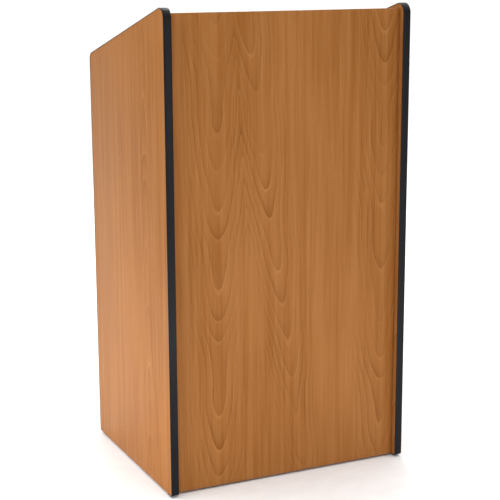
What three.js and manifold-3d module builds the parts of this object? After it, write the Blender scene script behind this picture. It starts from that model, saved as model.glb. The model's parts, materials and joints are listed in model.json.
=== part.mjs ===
// A presentation lectern of laminated board with black vinyl edge molding, in millimetres, +Z up.
// The audience faces the front panel on the -Y side and the presenter stands on the +Y side.
// Left and right are as the audience sees them, so left is -X. The origin is on the floor, mid-way.
import * as THREE from "three";
import { mergeVertices } from "three/addons/utils/BufferGeometryUtils.js";
import Module from "manifold-3d";

// Overall sizes, over the edge molding
const WIDTH = 648;
const DEPTH = 521;
const SIDE_HEIGHT = 1167; // bare side board, from its bottom edge to its square front corner
const SLOPE = THREE.MathUtils.degToRad(15);
const FLOOR_GAP = 6; // under the side and front panels

// Board and edge molding
const BOARD = 19.4;
const MOLDING_OVERHANG = 0.4; // past each face of the board
const MOLDING_THICKNESS = 2;
const MOLDING_BEVEL = 0.7;
const CROWN_RADIUS = 23; // top front corner of a side board
const HEEL_RADIUS = 18; // top back corner
const TOE_RADIUS = 7; // bottom front corner
const TUCK = 26; // molding under the bottom front corner
const BARB_DEPTH = 9;
const BARB_THICKNESS = 1.6;

// Clearances
const SEAT = 0.3; // between pieces that touch
const RUNNING = 0.3; // around a pin, an axle or a plug
const DOOR_GAP = 3;
const SHELF_GAP = 1.5; // behind the adjustable shelf

// Front panel, reading surface and shelves
const FRONT_RECESS = 18; // front panel behind the front molding
const FRONT_STEP = 14; // front panel's top below the side board's sloped edge
const READING_SUNK = 22; // reading surface below the side board's sloped edge
const READING_SETBACK = 37; // reading surface's low end from the back edge
const STOP_THICKNESS = 8;
const STOP_RISE = 13;
const STOP_RADIUS = 3;
const LAPTOP_BAY = 96; // clear height over the pull-out shelf at its low end
const STOWAGE_BAY = 88; // clear height between the pull-out shelf and the fixed shelf
const BACK_INSET = 30.5; // doors' and shelves' outer faces from the side boards' back edges
const ADJUSTABLE_SETBACK = 18; // adjustable shelf's edge behind the doors
const ADJUSTABLE_SHARE = 0.5; // its place between the base and the fixed shelf
const PULLOUT_CABLE_GAP = 32; // behind the pull-out shelf, for cables

// Cable grommet in the reading surface
const GROMMET_BORE = 30; // radius
const GROMMET_RIM = 5; // flange past the bore, let in flush
const GROMMET_FLANGE_THICKNESS = 1.8;
const GROMMET_WALL = 2.6;
const GROMMET_LEDGE = 3;
const GROMMET_CAP_THICKNESS = 3;
const GROMMET_SLOT_WIDTH = 16;
const GROMMET_INSET_X = 78; // grommet's centre from the side board
const GROMMET_INSET_Y = 58; // and from the front panel

// Pull-out shelf's slides
const SLIDE_STEP = 50; // slides come in lengths of this step
const SLIDE_HEIGHT = 27;
const SLIDE_SPACE = 12.7;
const SLIDE_METAL = 1.2;
const SLIDE_BALLS = 1.6; // gap for the balls between two members

// Shelf pins and their rows of holes
const PIN_RADIUS = 2.5;
const PIN_IN_BOARD = 9;
const PIN_OUT = 11;
const PIN_COLLAR_RADIUS = 4;
const PIN_COLLAR = 1.4;
const PIN_PITCH = 32;
const PIN_HOLES_EACH_WAY = 2;
const PIN_ROW_INSET = 60; // rows from the adjustable shelf's edges

// Continuous hinges
const HINGE_METAL = 1.2;
const HINGE_KNUCKLE = 3.2; // radius
const HINGE_PIN = 1.3;
const HINGE_LEAF = 20;
const HINGE_PITCH = 58;
const HINGE_KNUCKLE_GAP = 0.8;
const HINGE_END = 8; // hinge's ends from the door's ends

// Door pulls, lock and catches
const PULL_SPAN = 96;
const PULL_RADIUS = 4;
const PULL_STANDOFF = 22;
const PULL_BEND = 10;
const PULL_INSET = 42; // from the door's free edge
const PULL_DROP = 190; // pull's middle below the door's top
const LOCK_INSET = 24;
const LOCK_DROP = 70;
const LOCK_BODY = 9;
const LOCK_FLANGE = 11.5;
const LOCK_FLANGE_THICKNESS = 2.4;
const LOCK_PLUG = 6;
const LOCK_TAIL = 6; // square
const LOCK_CAM_REACH = 38;
const LOCK_CAM_WIDTH = 14;
const LOCK_CAM_THICKNESS = 2.5;
const LOCK_CAM_CLEARANCE = 2;
const KEYWAY = 1.6;
const CATCH_SIZE = [44, 13, 13];
const CATCH_OFFSET = 70; // from the middle
const STRIKE_SIZE = [34, 1.2, 11];

// Casters
const WHEEL_RADIUS = 25;
const WHEEL_WIDTH = 20;
const WHEEL_EDGE = 3;
const WHEEL_TOP_GAP = 2.2; // between the wheel and the raceway
const CASTER_TRAIL = 17;
const CASTER_INSET_X = 60; // swivel axis from the side board
const CASTER_INSET_Y = 56; // and from the front panel or the doors
const CASTER_PLATE = 58;
const CASTER_METAL = 2.2;
const CASTER_RACE = 21;
const CASTER_RACE_HEIGHT = 7;
const KINGPIN = 4;
const AXLE = 3;
const FORK_GAP = 1.2; // beside the wheel

// Places worked out from the sizes above
const sideOuter = WIDTH / 2 - MOLDING_OVERHANG;
const sideInner = sideOuter - BOARD;
const bayHalf = sideInner - SEAT;
const moldingWidth = BOARD + 2 * MOLDING_OVERHANG;
const boardFront = -(DEPTH / 2 - MOLDING_THICKNESS);
const boardBack = -boardFront;
const cornerTop = FLOOR_GAP + SIDE_HEIGHT;
const frontFace = -DEPTH / 2 + FRONT_RECESS;
const frontRear = frontFace + BOARD;
const inside = frontRear + SEAT;
const backFace = boardBack - BACK_INSET;
const doorInner = backFace - BOARD;
const raceLow = 2 * WHEEL_RADIUS + WHEEL_TOP_GAP;
const raceTop = raceLow + CASTER_RACE_HEIGHT;
const plateLow = raceTop + SEAT;
const casterHeight = plateLow + CASTER_METAL + SEAT;
const baseTop = casterHeight + BOARD;
// Along the sloped edge, from the square front corner
const readingLowEnd = (DEPTH - 2 * MOLDING_THICKNESS - READING_SETBACK) / Math.cos(SLOPE);
const readingUnder = slopeToWorld(readingLowEnd, -READING_SUNK - BOARD).z;
const pulloutTop = readingUnder - LAPTOP_BAY;
const pulloutMiddle = pulloutTop - BOARD / 2;
const fixedTop = pulloutTop - BOARD - STOWAGE_BAY;
const doorBottom = baseTop + DOOR_GAP;
const doorTop = fixedTop - BOARD - DOOR_GAP;
const doorHeight = doorTop - doorBottom;
const hingeX = bayHalf - HINGE_KNUCKLE;
const hingeY = backFace + SEAT + HINGE_KNUCKLE;
const pulloutHalf = sideInner - SLIDE_SPACE - SEAT;
const pulloutBack = backFace - MOLDING_THICKNESS - SEAT;
const pulloutFront = inside + PULLOUT_CABLE_GAP;
const slideLength = SLIDE_STEP * Math.floor((pulloutBack - pulloutFront) / SLIDE_STEP);
const adjustableBack = doorInner - ADJUSTABLE_SETBACK;
const adjustableFront = inside + SHELF_GAP;
const adjustableUnder = baseTop + (fixedTop - BOARD - baseTop - BOARD) * ADJUSTABLE_SHARE;
const pinHeight = adjustableUnder - SEAT - PIN_RADIUS;
const pinRows = [adjustableFront + PIN_ROW_INSET, adjustableBack - PIN_ROW_INSET];

const MATERIALS = {
  laminate: new THREE.MeshStandardMaterial({ color: 0xa86c3c, roughness: 0.45, metalness: 0 }),
  vinyl: new THREE.MeshStandardMaterial({ color: 0x26262b, roughness: 0.4, metalness: 0 }),
  steel: new THREE.MeshStandardMaterial({ color: 0xb4b6b8, roughness: 0.35, metalness: 1 }),
  nickel: new THREE.MeshStandardMaterial({ color: 0xc2bfb8, roughness: 0.28, metalness: 1 }),
  plastic: new THREE.MeshStandardMaterial({ color: 0x1c1c1e, roughness: 0.5, metalness: 0 }),
  rubber: new THREE.MeshStandardMaterial({ color: 0x2b2b2d, roughness: 0.75, metalness: 0 }),
};

const wasm = await Module();
wasm.setup();

// The world place of a point on the slope: v along the sloped edge from the front corner, w square to it.
function slopeToWorld(v, w) {
  return {
    y: boardFront + v * Math.cos(SLOPE) + w * Math.sin(SLOPE),
    z: cornerTop - v * Math.sin(SLOPE) + w * Math.cos(SLOPE),
  };
}

// The place along the slope where a line w square to it meets a given world y.
function alongSlope(y, w) {
  return (y - boardFront - w * Math.sin(SLOPE)) / Math.cos(SLOPE);
}

// A closed geometry as a solid that can be joined and cut.
function solidOf(geometry) {
  const bare = new THREE.BufferGeometry();
  const flat = geometry.index ? geometry.toNonIndexed() : geometry;
  bare.setAttribute("position", flat.getAttribute("position"));
  const merged = mergeVertices(bare, 1e-4);
  const corners = merged.index.array;
  const kept = [];
  for (let i = 0; i < corners.length; i += 3) {
    const [a, b, c] = corners.slice(i, i + 3);
    if (a !== b && b !== c && c !== a) kept.push(a, b, c);
  }
  const mesh = new wasm.Mesh({
    numProp: 3,
    vertProperties: merged.getAttribute("position").array,
    triVerts: new Uint32Array(kept),
  });
  return new wasm.Manifold(mesh);
}

// A solid as a geometry for a mesh.
function geometryOf(solid) {
  const mesh = solid.getMesh();
  const geometry = new THREE.BufferGeometry();
  geometry.setAttribute("position", new THREE.BufferAttribute(mesh.vertProperties, 3));
  geometry.setIndex(new THREE.BufferAttribute(mesh.triVerts, 1));
  geometry.computeVertexNormals();
  return geometry;
}

// A box between two values along each axis, in either order.
function block(x, y, z) {
  const box = new THREE.BoxGeometry(Math.abs(x[1] - x[0]), Math.abs(y[1] - y[0]), Math.abs(z[1] - z[0]));
  box.translate((x[0] + x[1]) / 2, (y[0] + y[1]) / 2, (z[0] + z[1]) / 2);
  return solidOf(box);
}

// Turns a shape that is extruded along Z so that it is extruded along X, with its own x along Y.
const ALONG_X = new THREE.Matrix4().makeBasis(
  new THREE.Vector3(0, 1, 0),
  new THREE.Vector3(0, 0, 1),
  new THREE.Vector3(1, 0, 0),
);
// The same along Y, with its own x along X and its own y along Z.
const ALONG_Y = new THREE.Matrix4().makeBasis(
  new THREE.Vector3(1, 0, 0),
  new THREE.Vector3(0, 0, 1),
  new THREE.Vector3(0, -1, 0),
);

// A shape extruded both ways from the middle, then turned.
function prism(shape, length, turn, bevel = 0) {
  const geometry = new THREE.ExtrudeGeometry(shape, {
    depth: length - 2 * bevel,
    bevelEnabled: bevel > 0,
    bevelThickness: bevel,
    bevelSize: bevel,
    bevelOffset: -bevel,
    bevelSegments: 1,
    curveSegments: 5,
  });
  geometry.translate(0, 0, bevel - length / 2);
  if (turn) geometry.applyMatrix4(turn);
  return solidOf(geometry);
}

// A body turned round Z from an outline of [radius, height] points, listed upwards on the outside.
function turned(outline, segments = 16) {
  const points = outline.map(([radius, height]) => new THREE.Vector2(radius, height));
  points.push(points[0].clone());
  const geometry = new THREE.LatheGeometry(points, segments);
  geometry.rotateX(Math.PI / 2);
  return solidOf(geometry);
}

// A plain cylinder round Z between two heights.
function rod(radius, low, high, segments = 12) {
  const geometry = new THREE.CylinderGeometry(radius, radius, high - low, segments);
  geometry.rotateX(Math.PI / 2);
  geometry.translate(0, 0, (low + high) / 2);
  return solidOf(geometry);
}

// Adds a named mesh, made from a solid, to a group.
function add(group, name, solid, material, place = [0, 0, 0]) {
  const mesh = new THREE.Mesh(geometryOf(solid), MATERIALS[material]);
  mesh.name = name;
  mesh.position.set(...place);
  group.add(mesh);
  return mesh;
}

// Rounds a path's clockwise corner between two directions of travel.
function turnCorner(path, corner, arriving, leaving, radius) {
  const turn = arriving.angleTo(leaving);
  const start = corner.clone().addScaledVector(arriving, -radius * Math.tan(turn / 2));
  const centre = new THREE.Vector2(start.x + arriving.y * radius, start.y - arriving.x * radius);
  const startAngle = Math.atan2(start.y - centre.y, start.x - centre.x);
  path.lineTo(start.x, start.y);
  path.absarc(centre.x, centre.y, radius, startAngle, startAngle - turn, true);
}

// The line that the molding follows round a side board, grown outwards: from under the toe, up the front,
// over the crown, down the slope, round the heel and down the back. It lies in the YZ plane.
function edgeLine(grow) {
  const front = boardFront - grow;
  const back = boardBack + grow;
  const bottom = FLOOR_GAP - grow;
  const slopeTop = (y) => cornerTop - (y - boardFront) * Math.tan(SLOPE) + grow / Math.cos(SLOPE);
  const down = new THREE.Vector2(0, -1);
  const up = new THREE.Vector2(0, 1);
  const forward = new THREE.Vector2(-1, 0);
  const along = new THREE.Vector2(Math.cos(SLOPE), -Math.sin(SLOPE));
  const path = new THREE.Path();
  path.moveTo(boardFront + TUCK, bottom);
  turnCorner(path, new THREE.Vector2(front, bottom), forward, up, Math.max(TOE_RADIUS + grow, 0.5));
  turnCorner(path, new THREE.Vector2(front, slopeTop(front)), up, along, CROWN_RADIUS + grow);
  turnCorner(path, new THREE.Vector2(back, slopeTop(back)), along, down, HEEL_RADIUS + grow);
  path.lineTo(back, FLOOR_GAP);
  return path.getPoints(4);
}

// A band along the board's edge between two distances from it.
function edgeBand(inner, outer, width) {
  const shape = new THREE.Shape([...edgeLine(outer), ...edgeLine(inner).reverse()]);
  return prism(shape, width, ALONG_X);
}

// The whole side board's outline, grown, closed along its bottom.
function boardShape(grow) {
  const points = edgeLine(grow);
  points.push(new THREE.Vector2(boardBack, FLOOR_GAP));
  return new THREE.Shape(points);
}

function sideBoard(side) {
  let solid = prism(boardShape(0), BOARD, ALONG_X);
  solid = solid.subtract(edgeBand(-BARB_DEPTH - 1, 1, BARB_THICKNESS + 2 * SEAT));
  const hole = new THREE.CylinderGeometry(
    PIN_RADIUS + RUNNING,
    PIN_RADIUS + RUNNING,
    2 * (PIN_IN_BOARD + 1),
    8,
  );
  hole.rotateZ(Math.PI / 2);
  for (const y of pinRows) {
    for (let step = -PIN_HOLES_EACH_WAY; step <= PIN_HOLES_EACH_WAY; step += 1) {
      const here = hole.clone().translate(-side * (BOARD / 2), y, pinHeight + step * PIN_PITCH);
      solid = solid.subtract(solidOf(here));
    }
  }
  return solid;
}

function edgeMolding() {
  const face = prism(boardShape(MOLDING_THICKNESS), moldingWidth, ALONG_X, MOLDING_BEVEL);
  const room = prism(boardShape(SEAT), moldingWidth + 2, ALONG_X);
  const below = block(
    [-moldingWidth, moldingWidth],
    [boardFront + TUCK, boardBack - BOARD],
    [FLOOR_GAP - 20, FLOOR_GAP + 20],
  );
  const heel = block([-moldingWidth, moldingWidth], [0, DEPTH], [FLOOR_GAP - 20, FLOOR_GAP + SEAT]);
  const barb = edgeBand(-BARB_DEPTH, MOLDING_THICKNESS / 2, BARB_THICKNESS);
  return face.subtract(room).subtract(below).add(barb).subtract(heel);
}

function addSides(group) {
  for (const [name, side] of [["left", -1], ["right", 1]]) {
    const middle = side * (sideOuter - BOARD / 2);
    add(group, `${name}_side_panel`, sideBoard(side), "laminate", [middle, 0, 0]);
    add(group, `${name}_edge_molding`, edgeMolding(), "vinyl", [middle, 0, 0]);
  }
}

function addPanels(group) {
  const across = [-bayHalf, bayHalf];
  const frontTop = cornerTop - (frontFace - boardFront) * Math.tan(SLOPE) - FRONT_STEP;
  add(group, "front_panel", block(across, [frontFace, frontRear], [FLOOR_GAP, frontTop]), "laminate");
  add(group, "base_panel", block(across, [inside, backFace], [casterHeight, baseTop]), "laminate");
  add(group, "fixed_shelf", block(across, [inside, backFace], [fixedTop - BOARD, fixedTop]), "laminate");
  const shelfHalf = sideInner - PIN_COLLAR - 3 * SEAT;
  const shelf = block(
    [-shelfHalf, shelfHalf],
    [adjustableFront, adjustableBack],
    [adjustableUnder, adjustableUnder + BOARD],
  );
  add(group, "adjustable_shelf", shelf, "laminate");
}

// The reading surface and what sits on it, in a group that leans with the slope: its own y runs down the
// slope from the side boards' square front corner, and its own z is square to the slope.
function addReadingSurface(group) {
  const desk = new THREE.Group();
  desk.position.set(0, boardFront, cornerTop);
  desk.rotation.x = -SLOPE;
  group.add(desk);

  const top = -READING_SUNK;
  const under = top - BOARD;
  const profile = new THREE.Shape([
    new THREE.Vector2(alongSlope(inside, under), under),
    new THREE.Vector2(readingLowEnd, under),
    new THREE.Vector2(readingLowEnd, top),
    new THREE.Vector2(alongSlope(inside, top), top),
  ]);
  const grommetX = sideInner - GROMMET_INSET_X;
  const grommetY = alongSlope(inside, top) + GROMMET_INSET_Y;
  const seatDepth = GROMMET_FLANGE_THICKNESS + SEAT;
  const flange = GROMMET_BORE + GROMMET_RIM;
  const bore = rod(GROMMET_BORE, under - 1, top + 1, 24)
    .add(rod(flange + SEAT, top - seatDepth, top + 1, 24))
    .translate([grommetX, grommetY, 0]);
  const surface = prism(profile, 2 * bayHalf, ALONG_X).subtract(bore);
  add(desk, "reading_surface", surface, "laminate");

  const stopLow = under;
  const stopHigh = top + STOP_RISE;
  const stop = new THREE.Shape();
  stop.moveTo(0, stopLow);
  stop.lineTo(STOP_THICKNESS, stopLow);
  stop.lineTo(STOP_THICKNESS, stopHigh - STOP_RADIUS);
  stop.absarc(STOP_THICKNESS - STOP_RADIUS, stopHigh - STOP_RADIUS, STOP_RADIUS, 0, Math.PI / 2, false);
  stop.absarc(STOP_RADIUS, stopHigh - STOP_RADIUS, STOP_RADIUS, Math.PI / 2, Math.PI, false);
  stop.lineTo(0, stopLow);
  const stopPlace = [0, readingLowEnd + SEAT, 0];
  add(desk, "document_stop", prism(stop, 2 * bayHalf, ALONG_X), "vinyl", stopPlace);

  // The grommet's flange lies flush, in a step of the bore; its heights are from the reading surface
  const sleeve = GROMMET_BORE - SEAT;
  const hollow = sleeve - GROMMET_WALL;
  const capUnder = -GROMMET_CAP_THICKNESS;
  const ledgeTop = capUnder - SEAT;
  const ring = turned(
    [
      [sleeve, -BOARD],
      [sleeve, -GROMMET_FLANGE_THICKNESS],
      [flange, -GROMMET_FLANGE_THICKNESS],
      [flange, 0],
      [hollow, 0],
      [hollow, ledgeTop],
      [hollow - GROMMET_LEDGE, ledgeTop],
      [hollow - GROMMET_LEDGE, ledgeTop - 1.5],
      [hollow, ledgeTop - 1.5],
      [hollow, -BOARD],
    ],
    24,
  );
  add(desk, "grommet_ring", ring, "plastic", [grommetX, grommetY, top]);
  const slot = block(
    [-GROMMET_SLOT_WIDTH / 2, GROMMET_SLOT_WIDTH / 2],
    [0, flange],
    [-10, 10],
  );
  const cap = rod(hollow - RUNNING, 0, GROMMET_CAP_THICKNESS, 24).subtract(slot);
  add(desk, "grommet_cap", cap, "plastic", [grommetX, grommetY, top + capUnder]);
}

// A channel of bent sheet, open towards +X, in the XZ plane.
function channel(depth, height) {
  const half = height / 2;
  return new THREE.Shape([
    new THREE.Vector2(0, -half),
    new THREE.Vector2(depth, -half),
    new THREE.Vector2(depth, -half + SLIDE_METAL),
    new THREE.Vector2(SLIDE_METAL, -half + SLIDE_METAL),
    new THREE.Vector2(SLIDE_METAL, half - SLIDE_METAL),
    new THREE.Vector2(depth, half - SLIDE_METAL),
    new THREE.Vector2(depth, half),
    new THREE.Vector2(0, half),
  ]);
}

function addPullout(group) {
  const tray = new THREE.Group();
  tray.position.set(0, 0, pulloutMiddle);
  group.add(tray);
  const half = BOARD / 2;
  const groove = block(
    [-pulloutHalf - 1, pulloutHalf + 1],
    [pulloutBack - BARB_DEPTH - 1, pulloutBack + 1],
    [-BARB_THICKNESS / 2 - SEAT, BARB_THICKNESS / 2 + SEAT],
  );
  const board = block([-pulloutHalf, pulloutHalf], [pulloutFront, pulloutBack], [-half, half]);
  add(tray, "pullout_shelf", board.subtract(groove), "laminate");

  const strip = new THREE.Shape([
    new THREE.Vector2(SEAT, -moldingWidth / 2),
    new THREE.Vector2(MOLDING_THICKNESS - MOLDING_BEVEL, -moldingWidth / 2),
    new THREE.Vector2(MOLDING_THICKNESS, -moldingWidth / 2 + MOLDING_BEVEL),
    new THREE.Vector2(MOLDING_THICKNESS, moldingWidth / 2 - MOLDING_BEVEL),
    new THREE.Vector2(MOLDING_THICKNESS - MOLDING_BEVEL, moldingWidth / 2),
    new THREE.Vector2(SEAT, moldingWidth / 2),
    new THREE.Vector2(SEAT, BARB_THICKNESS / 2),
    new THREE.Vector2(-BARB_DEPTH, BARB_THICKNESS / 2),
    new THREE.Vector2(-BARB_DEPTH, -BARB_THICKNESS / 2),
    new THREE.Vector2(SEAT, -BARB_THICKNESS / 2),
  ]);
  const molding = prism(strip, 2 * pulloutHalf, ALONG_X);
  add(tray, "pullout_edge_molding", molding, "vinyl", [0, pulloutBack, 0]);

  const middleHeight = SLIDE_HEIGHT - 2 * (SLIDE_METAL + SLIDE_BALLS);
  const runnerHeight = middleHeight - 2 * (SLIDE_METAL + SLIDE_BALLS);
  const slideMiddle = pulloutBack - slideLength / 2;
  // Distances are from the side board's face; each member faces the next one
  const members = [
    ["rail", SEAT, SLIDE_SPACE - 4, SLIDE_HEIGHT, 1],
    ["middle", SEAT + 2 * SLIDE_METAL, SLIDE_SPACE - 4, middleHeight, 1],
    ["runner", SLIDE_SPACE, SLIDE_SPACE - 6, runnerHeight, -1],
  ];
  for (const [name, side] of [["left", -1], ["right", 1]]) {
    for (const [member, start, depth, height, facing] of members) {
      const solid = prism(channel(depth, height), slideLength, ALONG_Y).scale([-side * facing, 1, 1]);
      const x = side * (sideInner - start);
      add(tray, `${name}_slide_${member}`, solid, "steel", [x, slideMiddle, 0]);
    }
  }
}

function addShelfPins(group) {
  // Turned upright, then laid so that the end goes into the board
  const pin = turned(
    [
      [0, -PIN_OUT],
      [PIN_RADIUS, -PIN_OUT],
      [PIN_RADIUS, -PIN_COLLAR - SEAT],
      [PIN_COLLAR_RADIUS, -PIN_COLLAR - SEAT],
      [PIN_COLLAR_RADIUS, -SEAT],
      [PIN_RADIUS, -SEAT],
      [PIN_RADIUS, PIN_IN_BOARD],
      [0, PIN_IN_BOARD],
    ],
    10,
  );
  const ends = ["front", "back"];
  for (const [name, side] of [["left", -1], ["right", 1]]) {
    pinRows.forEach((y, row) => {
      const laid = pin.rotate([0, 90 * side, 0]);
      add(group, `shelf_pin_${name}_${ends[row]}`, laid, "nickel", [side * sideInner, y, pinHeight]);
    });
  }
}

// One leaf of a continuous hinge, its pin on Z: plates takes the z stretch of each plate and tab.
function hingeLeaf(side, isFrame, length) {
  const count = 2 * Math.round((length / HINGE_PITCH - 1) / 2) + 1;
  const pitch = length / count;
  const clear = HINGE_KNUCKLE + 2 * SEAT;
  const plate = (from, to, z) => {
    const near = [side * (HINGE_KNUCKLE - HINGE_METAL), side * HINGE_KNUCKLE];
    const low = [-HINGE_KNUCKLE, HINGE_METAL - HINGE_KNUCKLE];
    return isFrame ? block(near, [from, to], z) : block([-side * from, -side * to], low, z);
  };
  let leaf = plate(clear, HINGE_LEAF, [0, length]);
  for (let index = isFrame ? 0 : 1; index < count; index += 2) {
    const z = [index * pitch + HINGE_KNUCKLE_GAP / 2, (index + 1) * pitch - HINGE_KNUCKLE_GAP / 2];
    const knuckle = turned(
      [
        [HINGE_KNUCKLE, z[0]],
        [HINGE_KNUCKLE, z[1]],
        [HINGE_PIN + RUNNING, z[1]],
        [HINGE_PIN + RUNNING, z[0]],
      ],
      12,
    );
    const bore = rod(HINGE_PIN + RUNNING, z[0] - 1, z[1] + 1, 12);
    leaf = leaf.add(plate(0, clear + 1, z)).subtract(bore).add(knuckle);
  }
  return leaf;
}

// A tubular pull: out from the door, along it and back, its feet on the door's face.
function doorPull() {
  const reach = PULL_STANDOFF + PULL_RADIUS;
  const half = PULL_SPAN / 2;
  const at = (y, z) => new THREE.Vector3(0, y, z);
  const path = new THREE.CurvePath();
  path.add(new THREE.LineCurve3(at(0, -half), at(reach - PULL_BEND, -half)));
  path.add(
    new THREE.QuadraticBezierCurve3(at(reach - PULL_BEND, -half), at(reach, -half), at(reach, PULL_BEND - half)),
  );
  path.add(new THREE.LineCurve3(at(reach, PULL_BEND - half), at(reach, half - PULL_BEND)));
  path.add(
    new THREE.QuadraticBezierCurve3(at(reach, half - PULL_BEND), at(reach, half), at(reach - PULL_BEND, half)),
  );
  path.add(new THREE.LineCurve3(at(reach - PULL_BEND, half), at(0, half)));
  const section = new THREE.Shape();
  section.absarc(0, 0, PULL_RADIUS, 0, 2 * Math.PI, false);
  const geometry = new THREE.ExtrudeGeometry(section, { extrudePath: path, steps: 26, curveSegments: 5 });
  return solidOf(geometry);
}

function addDoors(group) {
  const hingeLength = doorHeight - 2 * HINGE_END;
  const lockX = DOOR_GAP / 2 + LOCK_INSET;
  const lockZ = doorTop - LOCK_DROP;
  for (const [name, side] of [["left", -1], ["right", 1]]) {
    const door = new THREE.Group();
    group.add(door);
    const hinged = side * (sideInner - DOOR_GAP);
    let slab = block([side * (DOOR_GAP / 2), hinged], [doorInner, backFace], [doorBottom, doorTop]);
    if (side > 0) {
      const hole = rod(LOCK_BODY + SEAT, -BOARD, BOARD, 20).rotate([90, 0, 0]);
      slab = slab.subtract(hole.translate([lockX, (doorInner + backFace) / 2, lockZ]));
    }
    add(door, `${name}_door`, slab, "laminate");
    const hingePlace = [side * hingeX, hingeY, doorBottom + HINGE_END];
    add(door, `${name}_hinge_door_leaf`, hingeLeaf(side, false, hingeLength), "steel", hingePlace);
    add(group, `${name}_hinge_frame_leaf`, hingeLeaf(side, true, hingeLength), "steel", hingePlace);
    add(group, `${name}_hinge_pin`, rod(HINGE_PIN, 0, hingeLength), "steel", hingePlace);
    const pullPlace = [side * (DOOR_GAP / 2 + PULL_INSET), backFace + SEAT, doorTop - PULL_DROP];
    add(door, `${name}_door_pull`, doorPull(), "nickel", pullPlace);
    const [strikeWidth, strikeThickness, strikeHeight] = STRIKE_SIZE;
    const strikeBack = doorInner - SEAT;
    const strike = block(
      [side * CATCH_OFFSET - strikeWidth / 2, side * CATCH_OFFSET + strikeWidth / 2],
      [strikeBack - strikeThickness, strikeBack],
      [doorTop - strikeHeight, doorTop],
    );
    add(door, `${name}_strike_plate`, strike, "steel");
    const [catchWidth, catchDepth, catchHeight] = CATCH_SIZE;
    const catchBack = strikeBack - strikeThickness - SEAT;
    const catchTop = fixedTop - BOARD - SEAT;
    const body = block(
      [side * CATCH_OFFSET - catchWidth / 2, side * CATCH_OFFSET + catchWidth / 2],
      [catchBack - catchDepth, catchBack],
      [catchTop - catchHeight, catchTop],
    );
    add(group, `${name}_magnetic_catch`, body, "plastic");
  }
  addLock(group, lockX, lockZ);
}

// The cam lock of the right door. Its own z runs out of the door from the door's outer face.
function addLock(group, x, z) {
  const lock = new THREE.Group();
  lock.position.set(x, backFace, z);
  lock.rotation.x = -Math.PI / 2;
  group.add(lock);
  const plugBore = LOCK_PLUG + RUNNING;
  const flangeTop = SEAT + LOCK_FLANGE_THICKNESS;
  const body = turned(
    [
      [LOCK_BODY, -BOARD],
      [LOCK_BODY, SEAT],
      [LOCK_FLANGE, SEAT],
      [LOCK_FLANGE, flangeTop - 1],
      [LOCK_FLANGE - 1, flangeTop],
      [plugBore, flangeTop],
      [plugBore, -BOARD],
    ],
    20,
  );
  add(lock, "lock_body", body, "nickel");
  const camTop = -BOARD - LOCK_CAM_CLEARANCE;
  const camLow = camTop - LOCK_CAM_THICKNESS;
  const tailHalf = LOCK_TAIL / 2;
  const tail = block([-tailHalf, tailHalf], [-tailHalf, tailHalf], [camLow - 1, -BOARD + 1]);
  const keyway = block([-KEYWAY / 2, KEYWAY / 2], [-4, 4], [flangeTop - 6, flangeTop + 2]);
  const plug = rod(LOCK_PLUG, -BOARD, flangeTop - SEAT, 16).add(tail).subtract(keyway);
  add(lock, "lock_plug", plug, "nickel");
  // The lock's own y points down in the door, so the cam hangs when the lock is open
  const room = tailHalf + SEAT;
  const cam = block(
    [-LOCK_CAM_WIDTH / 2, LOCK_CAM_WIDTH / 2],
    [-LOCK_CAM_WIDTH / 2, LOCK_CAM_REACH],
    [camLow, camTop],
  ).subtract(block([-room, room], [-room, room], [camLow - 1, camTop + 1]));
  add(lock, "lock_cam", cam, "steel");
}

// A fork with its kingpin, the swivel axis on Z and the axle at y = CASTER_TRAIL. Heights are from the floor.
function casterFork() {
  const outer = WHEEL_WIDTH / 2 + FORK_GAP + CASTER_METAL;
  const eye = AXLE + 5;
  const cheek = new THREE.Shape();
  cheek.moveTo(-CASTER_RACE + 6, raceLow + 2);
  cheek.lineTo(CASTER_TRAIL - eye, WHEEL_RADIUS);
  cheek.absarc(CASTER_TRAIL, WHEEL_RADIUS, eye, Math.PI, 2 * Math.PI, false);
  cheek.lineTo(CASTER_RACE - 1, raceLow + 2);
  const cheeks = prism(cheek, 2 * outer, ALONG_X);
  const wheelRoom = block(
    [CASTER_METAL - outer, outer - CASTER_METAL],
    [-50, 50],
    [WHEEL_RADIUS - 2 * eye, raceLow],
  );
  const race = turned(
    [
      [0, raceLow],
      [CASTER_RACE - 2, raceLow],
      [CASTER_RACE, raceLow + 2],
      [CASTER_RACE, raceTop - 1],
      [CASTER_RACE - 1, raceTop],
      [0, raceTop],
    ],
    20,
  );
  const kingpin = rod(KINGPIN, raceTop - 1, casterHeight - SEAT);
  const axleBore = rod(AXLE + RUNNING, -outer - 1, outer + 1)
    .rotate([0, 90, 0])
    .translate([0, CASTER_TRAIL, WHEEL_RADIUS]);
  return cheeks.subtract(wheelRoom).add(race).add(kingpin).subtract(axleBore);
}

function casterWheel() {
  const half = WHEEL_WIDTH / 2;
  const bore = AXLE + RUNNING;
  const hub = bore + 4;
  const wheel = turned(
    [
      [bore, -half - FORK_GAP / 2],
      [hub, -half - FORK_GAP / 2],
      [hub, -half],
      [WHEEL_RADIUS - WHEEL_EDGE, -half],
      [WHEEL_RADIUS, -half + WHEEL_EDGE],
      [WHEEL_RADIUS, half - WHEEL_EDGE],
      [WHEEL_RADIUS - WHEEL_EDGE, half],
      [hub, half],
      [hub, half + FORK_GAP / 2],
      [bore, half + FORK_GAP / 2],
    ],
    24,
  );
  return wheel.rotate([0, 90, 0]);
}

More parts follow.
